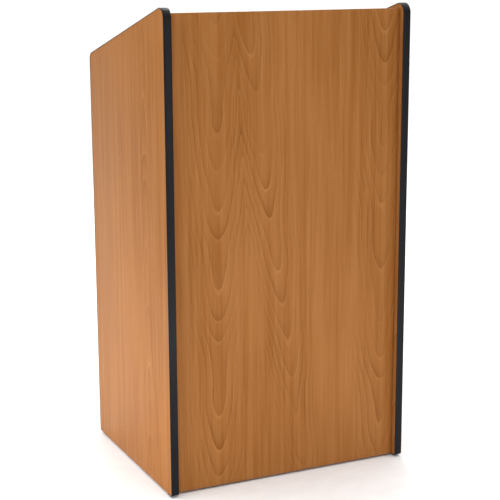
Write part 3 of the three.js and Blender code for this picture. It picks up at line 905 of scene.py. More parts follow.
def cut(made: bpy.types.Object, cutters: Sequence[bmesh.types.BMesh],
        union: bool = False) -> bpy.types.Object:
    """Cuts shapes from an object, or joins them to it as one skin.

    Args:
        made: the object.
        cutters: closed meshes, which are used up.
        union: joins instead of cutting.

    Returns:
        The same object.
    """
    tools = []
    for bm in cutters:
        tool = object_of("tool", bm, [])
        modifier = made.modifiers.new("cut", "BOOLEAN")
        modifier.operation = "UNION" if union else "DIFFERENCE"
        modifier.solver = "EXACT"
        modifier.object = tool
        tools.append(tool)
    settled(made)
    for tool in tools:
        bpy.data.objects.remove(tool)
    return made


@dataclass(frozen=True)
class GrainLay:
    """How the printed grain lies on a board: its direction, its start and its share of the print."""

    along: Axis
    start: tuple[float, float, float]
    shift: Pair = (0.0, 0.0)
    flipped: bool = False
    tilt: float = 0.0

    def dress(self, mesh: bpy.types.Mesh) -> None:
        """Writes the grain map, in metres, face by face.

        Args:
            mesh: the board's mesh.
        """
        layer = mesh.uv_layers.get(GRAIN_MAP) or mesh.uv_layers.new(name=GRAIN_MAP)
        turn = Matrix.Rotation(-self.tilt, 3, "X")
        start = Vector(self.start)
        for face in mesh.polygons:
            normal = turn @ face.normal
            facing = max(range(3), key=lambda k: abs(normal[k]))
            along = self.along.value
            rest = [k for k in range(3) if k != facing]
            if facing == along:
                along = rest[0] if self.along is Axis.Z else rest[-1]
            across = next(k for k in rest if k != along)
            aside = 0.37 * facing + (0.11 if normal[facing] < 0.0 else 0.0)
            for loop in face.loop_indices:
                point = turn @ (mesh.vertices[mesh.loops[loop].vertex_index].co - start)
                u = point[across] + self.shift[0]
                v = point[along] * (-1.0 if self.flipped else 1.0) + self.shift[1] + aside
                layer.data[loop].uv = (u, v)


def deliver(made: bpy.types.Object, body: str, slot: str, *nodes: str) -> bpy.types.Object:
    """Puts a finished piece on its body and hides the frame nodes it stands for.

    Args:
        made: the piece, already in place.
        body: the body that it rides on.
        slot: not used.
        nodes: the nodes that it replaces.

    Returns:
        The same piece.
    """
    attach(made, body)
    if nodes:
        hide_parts(*nodes)
    LOG.info("%s: %d faces on %s", made.name, len(made.data.polygons), body)
    return made


def span(node: str) -> Box:
    """The lowest and highest corner of a frame node, in metres."""
    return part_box(node)


def middle(box: Box) -> Vector:
    """The middle of a box."""
    return (box[0] + box[1]) / 2.0


def body_of(node: str) -> str:
    """The body that a frame node belongs to.

    Args:
        node: the node's name.

    Returns:
        The body's name.
    """
    groups = frame["record"]["behaviour"]["bodies"]
    return next(body for body, members in groups.items() if node in members)


def arc(centre: Pair, radius: float, start: float, end: float, steps: int) -> list[Pair]:
    """Points along an arc, both ends included.

    Args:
        centre: its centre.
        radius: its radius.
        start: its first angle, in degrees.
        end: its last angle, in degrees.
        steps: how many pieces it has.

    Returns:
        The points.
    """
    angles = [math.radians(start + (end - start) * i / steps) for i in range(steps + 1)]
    return [(centre[0] + radius * math.cos(a), centre[1] + radius * math.sin(a)) for a in angles]


def rounded_box(low: Pair, high: Pair, radius: float, steps: int = 4) -> list[Pair]:
    """A rectangle's outline with rounded corners.

    Args:
        low: its lowest corner.
        high: its highest corner.
        radius: the corners' radius.
        steps: how many pieces each corner has.

    Returns:
        The points, going anticlockwise.
    """
    corners = (
        ((high[0] - radius, high[1] - radius), 0.0), ((low[0] + radius, high[1] - radius), 90.0),
        ((low[0] + radius, low[1] + radius), 180.0), ((high[0] - radius, low[1] + radius), 270.0),
    )
    points: list[Pair] = []
    for centre, start in corners:
        points += arc(centre, radius, start, start + 90.0, steps)
    return points


def molding_cap(half: float, skin: float, seat: float) -> list[Pair]:
    """The crowned cap of a T-molding's section, from one foot round to the other.

    Args:
        half: half its width.
        skin: how far it stands out from the board's edge.
        seat: the gap between the edge and its feet.

    Returns:
        Points of place across the board and distance out from its edge.
    """
    rounding, crown = 1.15 * MM, 0.35 * MM
    side, out = half - rounding, skin - crown - rounding
    rise = [(share * half, skin - crown * share * share * 1.2) for share in (-0.6, -0.3, 0.0, 0.3, 0.6)]
    return [(-half, seat), *arc((-side, out), rounding, 180.0, 108.0, 4), *rise,
            *arc((side, out), rounding, 72.0, 0.0, 4), (half, seat)]


# ---------------------------------------------------------------------------------------------
# Geometry node trees
# ---------------------------------------------------------------------------------------------


class Repeater:
    """The geometry trees for what repeats or follows a path, each built once."""

    def __init__(self) -> None:
        """Builds every tree."""
        self.scatter = self._scatter()
        self.balls = self._balls()
        self.knuckles = self._knuckles()
        self.molding = self._molding()

    @staticmethod
    def _open(name: str, *inputs: Port) -> tuple[Wiring, dict[str, Any], bpy.types.Node]:
        """Starts a geometry tree that ends in one mesh with one material.

        Args:
            name: the tree's name.
            inputs: its inputs before the material.

        Returns:
            The wiring, the inputs' sockets by name, and the output node.
        """
        ports = [*inputs, Port("Material", "Material")]
        _, w, source, sink = open_group(name, "GeometryNodeTree", ports, [Port("Geometry", "Geometry")])
        return w, {port.name: source.outputs[port.name] for port in ports}, sink

    @staticmethod
    def _close(w: Wiring, geometry: Any, given: dict[str, Any], sink: bpy.types.Node) -> bpy.types.NodeTree:
        """Ends a tree with real geometry and its material.

        Args:
            w: the tree's wiring.
            geometry: the instances' socket.
            given: the inputs' sockets by name.
            sink: the tree's output node.

        Returns:
            The finished tree.
        """
        real = w.fed("GeometryNodeRealizeInstances", {"Geometry": geometry})
        dressed = w.fed("GeometryNodeSetMaterial",
                        {"Geometry": real.outputs[0], "Material": given["Material"]})
        w.put(sink.inputs[0], dressed.outputs["Geometry"])
        return w.tree

    @staticmethod
    def _row(w: Wiring, given: dict[str, Any], piece: Any) -> bpy.types.NodeSocket:
        """Repeats a piece along a straight row.

        Args:
            w: the tree's wiring.
            given: the inputs' sockets by name, among them Count, Start and Step.
            piece: the mesh's socket.

        Returns:
            The instances' socket.
        """
        feeds = {"Count": given["Count"], "Start Location": given["Start"], "Offset": given["Step"]}
        line = w.fed("GeometryNodeMeshLine", feeds, mode="OFFSET")
        placed = w.fed("GeometryNodeInstanceOnPoints", {"Points": line.outputs["Mesh"], "Instance": piece})
        return placed.outputs["Instances"]

    def _scatter(self) -> bpy.types.NodeTree:
        """Fasteners on marked points, each facing its own way and turned by chance about it.

        Returns:
            The tree.
        """
        w, given, sink = self._open(
            "fasteners_on_points", Port("Points", "Geometry"), Port("Fastener", "Object"),
            Port("Turn Seed", "Int", 3), Port("Turn", value=math.pi))
        facing = w.fed("GeometryNodeInputNamedAttribute", {"Name": "facing"}, data_type="FLOAT_VECTOR")
        aimed = w.fed("FunctionNodeAlignRotationToVector", {"Vector": facing.outputs["Attribute"]}, axis="Z")
        chance = w.fed("FunctionNodeRandomValue", {3: given["Turn"], "Seed": given["Turn Seed"]},
                       data_type="FLOAT")
        spin = w.fed("FunctionNodeAxisAngleToRotation", {"Axis": (0.0, 0.0, 1.0), "Angle": chance.outputs[1]})
        both = w.fed("FunctionNodeRotateRotation",
                     {"Rotation": aimed.outputs["Rotation"], "Rotate By": spin.outputs["Rotation"]},
                     rotation_space="LOCAL")
        template = w.fed("GeometryNodeObjectInfo", {"Object": given["Fastener"]})
        placed = w.fed("GeometryNodeInstanceOnPoints", {
            "Points": given["Points"], "Instance": template.outputs["Geometry"],
            "Rotation": both.outputs["Rotation"]})
        return self._close(w, placed.outputs["Instances"], given, sink)

    def _balls(self) -> bpy.types.NodeTree:
        """A straight row of bearing balls.

        Returns:
            The tree.
        """
        w, given, sink = self._open(
            "ball_row", Port("Geometry", "Geometry"), Port("Start", "Vector"), Port("Step", "Vector"),
            Port("Count", "Int", 8), Port("Ball Radius", value=0.0008))
        ball = w.fed("GeometryNodeMeshIcoSphere", {"Radius": given["Ball Radius"], "Subdivisions": 2})
        return self._close(w, self._row(w, given, ball.outputs["Mesh"]), given, sink)

    def _knuckles(self) -> bpy.types.NodeTree:
        """Every second knuckle of a continuous hinge, as rolled tubes round an upright pin.

        Returns:
            The tree.
        """
        w, given, sink = self._open(
            "hinge_knuckles", Port("Geometry", "Geometry"), Port("Start", "Vector"), Port("Step", "Vector"),
            Port("Count", "Int", 6), Port("Length", value=0.06), Port("Radius", value=0.0032),
            Port("Bore", value=0.0016), Port("Rounding", value=0.0003))
        mean = w.math("MULTIPLY", w.math("ADD", given["Radius"], given["Bore"]), 0.5)
        ring = w.fed("GeometryNodeCurvePrimitiveCircle", {"Resolution": 28, "Radius": mean}, mode="RADIUS")
        thickness = w.math("SUBTRACT", given["Radius"], given["Bore"])
        wall = w.fed("GeometryNodeCurvePrimitiveQuadrilateral",
                     {"Width": thickness, "Height": given["Length"]}, mode="RECTANGLE")
        eased = w.fed("GeometryNodeFilletCurve",
                      {"Curve": wall.outputs["Curve"], "Count": 2, "Radius": given["Rounding"]}, mode="POLY")
        rolled = w.fed("GeometryNodeCurveToMesh",
                       {"Curve": ring.outputs["Curve"], "Profile Curve": eased.outputs["Curve"]})
        return self._close(w, self._row(w, given, rolled.outputs["Mesh"]), given, sink)

    def _molding(self) -> bpy.types.NodeTree:
        """A molding's profile swept along a cornered path, each corner rounded to its own radius.

        Returns:
            The tree.
        """
        w, given, sink = self._open(
            "molding_on_path", Port("Path", "Geometry"), Port("Profile", "Object"),
            Port("Corner Steps", "Int", 12))
        path = w.fed("GeometryNodeMeshToCurve", {"Mesh": given["Path"]})
        corner = w.fed("GeometryNodeInputNamedAttribute", {"Name": "corner"}, data_type="FLOAT")
        eased = w.fed("GeometryNodeFilletCurve", {
            "Curve": path.outputs["Curve"], "Count": given["Corner Steps"],
            "Radius": corner.outputs["Attribute"]}, mode="POLY")
        profile = w.fed("GeometryNodeObjectInfo", {"Object": given["Profile"]})
        section = w.fed("GeometryNodeMeshToCurve", {"Mesh": profile.outputs["Geometry"]})
        swept = w.fed("GeometryNodeCurveToMesh", {
            "Curve": eased.outputs["Curve"], "Profile Curve": section.outputs["Curve"], "Fill Caps": True})
        return self._close(w, swept.outputs["Mesh"], given, sink)

    @staticmethod
    def run(name: str, tree: bpy.types.NodeTree, base: bpy.types.Mesh, values: dict[str, Any],
            smooth: float = 32.0) -> bpy.types.Object:
        """Runs a tree on a base mesh and keeps the result as plain mesh.

        Args:
            name: the new object's name.
            tree: the tree.
            base: the mesh that the tree starts from.
            values: its inputs by name.
            smooth: the least angle of a sharp edge, in degrees.

        Returns:
            The object.
        """
        made = bpy.data.objects.new(name, base)
        bpy.context.scene.collection.objects.link(made)
        modifier = made.modifiers.new("repeat", "NODES")
        modifier.node_group = tree
        for item in tree.interface.items_tree:
            if item.item_type == "SOCKET" and item.in_out == "INPUT" and item.name in values:
                modifier[item.identifier] = values[item.name]
        return settled(made, smooth)


def marked_points(places: Sequence[tuple[Vector, Vector]]) -> bpy.types.Mesh:
    """Loose points, each with the way that its fastener faces.

    Args:
        places: pairs of place and facing.

    Returns:
        The mesh of points.
    """
    mesh = bpy.data.meshes.new("points")
    mesh.from_pydata([place for place, _ in places], [], [])
    attribute = mesh.attributes.new("facing", "FLOAT_VECTOR", "POINT")
    for i, (_, facing) in enumerate(places):
        attribute.data[i].vector = facing
    return mesh


def cornered_path(corners: Sequence[tuple[Vector, float]]) -> bpy.types.Mesh:
    """A path of straight pieces, each corner with its radius.

    Args:
        corners: pairs of place and radius.

    Returns:
        The mesh of the path.
    """
    mesh = bpy.data.meshes.new("path")
    count = len(corners)
    mesh.from_pydata([place for place, _ in corners], [(i, i + 1) for i in range(count - 1)], [])
    attribute = mesh.attributes.new("corner", "FLOAT", "POINT")
    for i, (_, radius) in enumerate(corners):
        attribute.data[i].value = radius
    return mesh


class Fasteners:
    """Screw heads and cam covers, modelled once each and repeated by the scatter tree."""

    def __init__(self, repeater: Repeater, palette: Palette) -> None:
        """Builds the templates.

        Args:
            repeater: the geometry trees.
            palette: the materials.
        """
        self.repeater = repeater
        self.palette = palette
        flat = [(0.0, -1.2), (1.6, -1.2), (3.3, 0.0), (3.05, 0.22), (0.0, 0.3)]
        pan = [(0.0, -0.1), (3.2, -0.1), (3.2, 0.9), (2.7, 1.5), (1.6, 1.9), (0.0, 2.0)]
        cam = [(0.0, -0.2), (7.5, -0.2), (7.5, 0.35), (7.1, 0.75), (0.0, 0.85)]
        self.flat = self._head("flat_head", flat, 5.2)
        self.pan = self._head("pan_head", pan, 4.2)
        self.cam = self._head("cam_cover", cam, 7.0)

    @staticmethod
    def _head(name: str, profile: Sequence[Pair], drive: float) -> bpy.types.Object:
        """One head with a cross recess, its axis on Z and its seat at the origin.

        Args:
            name: the template's name.
            profile: its radius and height, in millimetres.
            drive: the recess's width, in millimetres.

        Returns:
            The template, hidden.
        """
        head = object_of(name, turned([(r * MM, h * MM) for r, h in profile], 24), [])
        top = max(h for _, h in profile)
        arm, half = drive / 2.0 * MM, 0.42 * MM
        low, high = (top - 0.75) * MM, (top + 1.0) * MM
        bars = [slab(Vector((-a, -b, low)), Vector((a, b, high))) for a, b in ((arm, half), (half, arm))]
        cut(head, bars)
        head.hide_render = True
        head.hide_viewport = True
        return head

    def place(self, name: str, template: bpy.types.Object, places: Sequence[tuple[Vector, Vector]],
              body: str, seed: int, material: bpy.types.Material, slot: str) -> bpy.types.Object:
        """Puts a fastener at each place, as one piece on one body.

        Args:
            name: the piece's name.
            template: the fastener.
            places: pairs of place and facing.
            body: the body that the piece rides on.
            seed: the seed for how far each is turned.
            material: its finish.
            slot: the record's material slot.

        Returns:
            The piece.
        """
        template.hide_viewport = False
        made = self.repeater.run(
            name, self.repeater.scatter, marked_points(places),
            {"Fastener": template, "Turn Seed": seed, "Material": material})
        template.hide_viewport = True
        return deliver(made, body, slot)

    def clear(self) -> None:
        """Removes the templates once everything is placed."""
        for template in (self.flat, self.pan, self.cam):
            bpy.data.objects.remove(template)


@dataclass
class Workshop:
    """What every sub-assembly works with."""

    palette: Palette
    repeater: Repeater
    fasteners: Fasteners


# ---------------------------------------------------------------------------------------------
# Boards
# ---------------------------------------------------------------------------------------------


@dataclass
class Board:
    """One laminated board: its outline, its eased edges, its openings and its grain."""

    shop: Workshop
    name: str
    node: str
    lay: GrainLay
    easing: float = 0.5 * MM

    def from_outline(self, outline: Sequence[Pair], low: float, high: float, axis: Axis,
                     cutters: Sequence[bmesh.types.BMesh] = ()) -> bpy.types.Object:
        """Builds the board from its outline.

        Args:
            outline: its points, in metres.
            low: the first face's distance along the axis.
            high: the second face's.
            axis: the axis across its thickness.
            cutters: what is cut from it.

        Returns:
            The finished piece.
        """
        bm = prism(outline, low, high, axis)
        ease_edges(bm, self.easing, 2, 40.0, 1)
        made = object_of(self.name, bm, [self.shop.palette.wood, self.shop.palette.seam])
        if cutters:
            cut(made, cutters)
        self.lay.dress(made.data)
        return deliver(made, body_of(self.node), "laminate", self.node)

    def plain(self, cutters: Sequence[bmesh.types.BMesh] = ()) -> bpy.types.Object:
        """Builds a square-cut board that fills its node's box.

        Args:
            cutters: what is cut from it.

        Returns:
            The finished piece.
        """
        low, high = span(self.node)
        outline = [(low.x, low.y), (high.x, low.y), (high.x, high.y), (low.x, high.y)]
        return self.from_outline(outline, low.z, high.z, Axis.Z, cutters)


@dataclass
class SideFrame:
    """A side board with its black T-molding, which wraps the front, the crown, the slope and the back."""

    shop: Workshop
    side: Side
    crown: float = 23.0 * MM
    heel: float = 18.0 * MM
    toe: float = 7.0 * MM
    tuck: float = 26.0 * MM
    skin: float = 2.0 * MM
    barb: float = 6.0 * MM
    stem: float = 0.8 * MM
    seat: float = 0.3 * MM
    pin_hole: float = 2.6 * MM
    pin_hole_depth: float = 10.0 * MM
    pin_pitch: float = 32.0 * MM
    pins_each_way: int = 2
    grain_shift: ClassVar[dict[Side, Pair]] = {Side.LEFT: (-0.02, 5.6), Side.RIGHT: (0.12, 4.3)}

    def corners(self) -> list[tuple[Vector, float]]:
        """The board's edge as a cornered path, from under the toe to the foot of the back.

        Returns:
            Pairs of place and radius.
        """
        low, high = span(f"{self.side.word}_side_panel")
        x = (low.x + high.x) / 2.0
        front, back, floor = low.y, high.y, low.z
        top = self.corner_top()
        heel = top - (back - front) * math.tan(SLOPE)
        return [
            (Vector((x, front + self.tuck, floor)), 0.0),
            (Vector((x, front, floor)), self.toe),
            (Vector((x, front, top)), self.crown),
            (Vector((x, back, heel)), self.heel),
            (Vector((x, back, floor)), 0.0),
        ]

    def corner_top(self) -> float:
        """The height of the board's square front corner, worked out from its rounded crown.

        Returns:
            The height, in metres.
        """
        high = span(f"{self.side.word}_side_panel")[1].z
        return high - self.crown + self.crown * math.tan((math.pi / 2.0 + SLOPE) / 2.0)

    def outline(self) -> list[Pair]:
        """The board's outline in the YZ plane, its corners rounded.

        Returns:
            The points.
        """
        path = self.corners()
        flat = [((place.y, place.z), radius) for place, radius in path]
        (front, floor), _ = flat[1]
        top = flat[2][0][1]
        (back, heel), _ = flat[3]
        points = [(front + self.toe, floor)]
        points += arc((front + self.toe, floor + self.toe), self.toe, 270.0, 180.0, 6)[1:]
        up = 90.0 - math.degrees(SLOPE)
        reach = self.crown * math.tan((math.pi / 2.0 + SLOPE) / 2.0)
        points += arc((front + self.crown, top - reach), self.crown, 180.0, up, 14)
        reach = self.heel * math.tan((math.pi / 2.0 - SLOPE) / 2.0)
        points += arc((back - self.heel, heel - reach), self.heel, up, 0.0, 14)
        points.append((back, floor))
        return points

    def build(self) -> None:
        """Builds the board and the molding."""
        self._board()
        self._molding()

    def _board(self) -> None:
        """Builds the side board with its rows of shelf-pin holes."""
        word, sign = self.side.word, self.side.sign
        low, high = span(f"{word}_side_panel")
        inner = high.x if sign < 0 else low.x
        holes = []
        for end in ("front", "back"):
            pin = middle(span(f"shelf_pin_{word}_{end}"))
            for step in range(-self.pins_each_way, self.pins_each_way + 1):
                turn = Matrix.Rotation(math.radians(90.0 * -sign), 4, "Y")
                place = Matrix.Translation((inner, pin.y, pin.z + step * self.pin_pitch)) @ turn
                holes.append(drill(self.pin_hole, -self.pin_hole_depth, MM, 20, place))
        lay = GrainLay(Axis.Z, tuple(low), self.grain_shift[self.side], flipped=True)
        board = Board(self.shop, f"{word}_side_board", f"{word}_side_panel", lay)
        board.from_outline(self.outline(), low.x, high.x, Axis.X, holes)

    def _profile(self) -> bpy.types.Object:
        """The molding's section: a crowned cap over the board's edge and a barbed stem.

        Returns:
            The section as a closed outline, x across the board and y outwards from its edge.
        """
        low, high = span(f"{self.side.word}_edge_molding")
        stem = self.stem
        flank = [(stem, self.seat)]
        for step in range(3):
            y = -1.2 * MM - step * 1.7 * MM
            flank += [(stem * 0.7, y + 0.5 * MM), (stem, y), (stem * 0.7, y - 0.6 * MM)]
        flank.append((stem * 0.45, -self.barb))
        points = molding_cap((high.x - low.x) / 2.0, self.skin, self.seat) + flank
        points += [(-x, y) for x, y in reversed(flank)]
        mesh = bpy.data.meshes.new("section")
        count = len(points)
        mesh.from_pydata([(x, y, 0.0) for x, y in points], [(i, (i + 1) % count) for i in range(count)], [])
        section = bpy.data.objects.new("section", mesh)
        bpy.context.scene.collection.objects.link(section)
        return section

    def _molding(self) -> None:
        """Sweeps the molding round the board."""
        section = self._profile()
        word = self.side.word
        made = self.shop.repeater.run(
            f"{word}_t_molding", self.shop.repeater.molding, cornered_path(self.corners()),
            {"Profile": section, "Corner Steps": 14, "Material": self.shop.palette.vinyl}, 40.0)
        bpy.data.objects.remove(section)
        bm = bmesh.new()
        bm.from_mesh(made.data)
        bmesh.ops.remove_doubles(bm, verts=bm.verts, dist=1e-6)
        bmesh.ops.recalc_face_normals(bm, faces=bm.faces)
        bm.to_mesh(made.data)
        bm.free()
        shade(made.data, 40.0)
        deliver(made, "carcass", "black_vinyl", f"{word}_edge_molding")


@dataclass
class Cabinet:
    """The fixed boards between the sides, their fittings and the adjustable shelf."""

    shop: Workshop
    fitting_inset: float = 34.0 * MM

    def build(self) -> None:
        """Builds the boards and their cam fittings."""
        front = span("front_panel")
        lay = GrainLay(Axis.Z, (front[0].x, front[0].y, front[0].z))
        Board(self.shop, "front_board", "front_panel", lay).plain()
        shelves = (("base_board", "base_panel", 2.1, 0.05), ("fixed_shelf_board", "fixed_shelf", 5.7, 0.14),
                   ("adjustable_shelf_board", "adjustable_shelf", 8.2, 0.02))
        for name, node, shift, aside in shelves:
            low = span(node)[0]
            Board(self.shop, name, node, GrainLay(Axis.X, (low.x, low.y, low.z), (aside, shift))).plain()
        self._fittings()
        for side in Side:
            for end in ("front", "back"):
                self._shelf_pin(side, end)

    def _fittings(self) -> None:
        """Covers the cam fittings that hold the fixed boards to the sides."""
        places: list[tuple[Vector, Vector]] = []
        low, high = span("front_panel")
        down, inward = Vector((0.0, 0.0, -1.0)), Vector((0.0, 1.0, 0.0))
        for x in (low.x + self.fitting_inset, high.x - self.fitting_inset):
            for z in (0.20, 0.55, 0.86, 0.97):
                places.append((Vector((x, high.y, z)), inward))
        low, high = span("fixed_shelf")
        for x in (low.x + self.fitting_inset, high.x - self.fitting_inset):
            for y in (low.y + 0.07, high.y - 0.11):
                places.append((Vector((x, y, low.z)), down))
        self.shop.fasteners.place("cam_covers", self.shop.fasteners.cam, places, "carcass", 11,
                                  self.shop.palette.zinc, "zinc_steel")

    def _shelf_pin(self, side: Side, end: str) -> None:
        """Builds one shelf pin: a rounded peg with a collar.

        Args:
            side: the side board that it sits in.
            end: front or back.
        """
        node = f"shelf_pin_{side.word}_{end}"
        low, high = span(node)
        sign = side.sign
        side_low, side_high = span(f"{side.word}_side_panel")
        inner = side_high.x if sign < 0 else side_low.x
        profile = [(0.0, -11.0), (2.1, -11.0), (2.5, -10.6), (2.5, -1.7), (3.6, -1.7), (4.0, -1.4),
                   (4.0, -0.6), (3.6, -0.3), (2.5, -0.3), (2.5, 8.2), (1.9, 9.0), (0.0, 9.0)]
        turn = Matrix.Rotation(math.radians(90.0 * sign), 4, "Y")
        place = Matrix.Translation((inner, (low.y + high.y) / 2.0, (low.z + high.z) / 2.0)) @ turn
        bm = turned([(r * MM, h * MM) for r, h in profile], 24, place)
        made = object_of(f"{node}_peg", bm, [self.shop.palette.nickel])
        deliver(made, "carcass", "satin_nickel", node)


@dataclass
class Desk:
    """The sloped reading surface, its document stop and its cable grommet."""

    shop: Workshop
    board: float = 19.4 * MM
    stop: float = 8.0 * MM
    stop_rise: float = 13.0 * MM
    bore: float = 30.0 * MM
    rim: float = 5.0 * MM
    rim_thickness: float = 1.8 * MM
    wall: float = 2.6 * MM
    seat: float = 0.3 * MM

    def build(self) -> None:
        """Builds the surface, the stop and the grommet."""
        low, high = span("reading_surface")
        # The board's top meets the front panel at its highest corner
        self.origin = Vector((0.0, low.y, high.z))
        self.place = Matrix.Translation(self.origin) @ Matrix.Rotation(-SLOPE, 4, "X")
        self.foot = (low.z - self.origin.z + self.board * math.cos(SLOPE)) / -math.sin(SLOPE)
        ring_low, ring_high = span("grommet_ring")
        # The flange's edge on the high side has its box's highest z
        along = (self.origin.z - ring_high.z) / math.sin(SLOPE) + self.bore + self.rim
        self.grommet = Matrix.Translation(((ring_low.x + ring_high.x) / 2.0, along, 0.0))
        self._surface(low, high)
        self._stop()
        self._grommet()

    def _surface(self, low: Vector, high: Vector) -> None:
        """Builds the reading surface with a stepped bore.

        Args:
            low: the node's lowest corner.
            high: the node's highest corner.
        """
        outline = [(0.0, 0.0), (self.board * math.tan(SLOPE), -self.board), (self.foot, -self.board),
                   (self.foot, 0.0)]
        bm = prism(outline, low.x, high.x, Axis.X)
        ease_edges(bm, 0.5 * MM, 2, 40.0, 1)
        bmesh.ops.transform(bm, matrix=self.place, verts=bm.verts)
        made = object_of("reading_board", bm, [self.shop.palette.wood, self.shop.palette.seam])
        flange = self.bore + self.rim
        deep = self.rim_thickness + self.seat
        profile = [(0.0, -self.board - 1.0 * MM), (self.bore, -self.board - 1.0 * MM), (self.bore, -deep),
                   (flange + self.seat, -deep), (flange + self.seat, 1.0 * MM), (0.0, 1.0 * MM)]
        cut(made, [turned(profile, 64, self.place @ self.grommet)])
        lay = GrainLay(Axis.X, tuple(self.origin + Vector((low.x, 0.0, 0.0))), (0.05, 11.6), tilt=-SLOPE)
        lay.dress(made.data)
        deliver(made, "carcass", "laminate", "reading_surface")

    def _stop(self) -> None:
        """Builds the document stop, rounded along its top."""
        low, high = span("document_stop")
        near = self.foot + self.seat
        far = near + self.stop
        top, under, radius = self.stop_rise, -self.board, 3.2 * MM
        outline = [(near, under), (far, under)]
        outline += arc((far - radius, top - radius), radius, 0.0, 90.0, 8)
        outline += arc((near + radius, top - radius), radius, 90.0, 180.0, 8)
        bm = prism(outline, low.x, high.x, Axis.X)
        ease_edges(bm, 0.6 * MM, 2, 50.0)
        bmesh.ops.transform(bm, matrix=self.place, verts=bm.verts)
        made = object_of("document_rail", bm, [self.shop.palette.vinyl])
        deliver(made, "carcass", "black_vinyl", "document_stop")

    def _grommet(self) -> None:
        """Builds the grommet's sleeve and its slotted cap."""
        place = self.place @ self.grommet
        sleeve = self.bore - self.seat
        hollow = sleeve - self.wall
        flange = self.bore + self.rim
        ledge = -3.3 * MM
        profile = [
            (sleeve, -self.board), (sleeve, -self.rim_thickness), (flange - 0.3 * MM, -self.rim_thickness),
            (flange, -self.rim_thickness + 0.4 * MM), (flange - 0.3 * MM, -0.4 * MM),
            (flange - 1.2 * MM, 0.0), (hollow + 1.0 * MM, 0.0), (hollow + 0.2 * MM, -0.3 * MM),
            (hollow, -1.0 * MM),
            (hollow, ledge), (hollow - 3.0 * MM, ledge), (hollow - 3.0 * MM, ledge - 1.5 * MM),
            (hollow, ledge - 1.5 * MM), (hollow, -self.board),
        ]
        made = object_of("grommet_sleeve", turned(profile, 72, place), [self.shop.palette.plastic])
        deliver(made, "carcass", "black_plastic", "grommet_ring")
        edge = hollow - self.seat
        cap = [(0.0, -3.0 * MM), (edge, -3.0 * MM), (edge, -0.9 * MM), (edge - 0.6 * MM, -0.25 * MM),
               (edge - 2.6 * MM, -0.1 * MM), (edge - 3.0 * MM, -0.5 * MM), (edge - 3.8 * MM, -0.5 * MM),
               (edge - 4.2 * MM, -0.1 * MM), (0.0, 0.0)]
        lid = object_of("grommet_lid", turned(cap, 72, place), [self.shop.palette.plastic])
        slot = [(-8.0 * MM, 40.0 * MM), (-8.0 * MM, 8.0 * MM)]
        slot += arc((0.0, 8.0 * MM), 8.0 * MM, 180.0, 360.0, 12)[1:-1]
        slot += [(8.0 * MM, 8.0 * MM), (8.0 * MM, 40.0 * MM)]
        cutter = prism(slot, -10.0 * MM, 10.0 * MM, Axis.Z)
        bmesh.ops.transform(cutter, matrix=place, verts=cutter.verts)
        cut(lid, [cutter])
        deliver(lid, "carcass", "black_plastic", "grommet_cap")


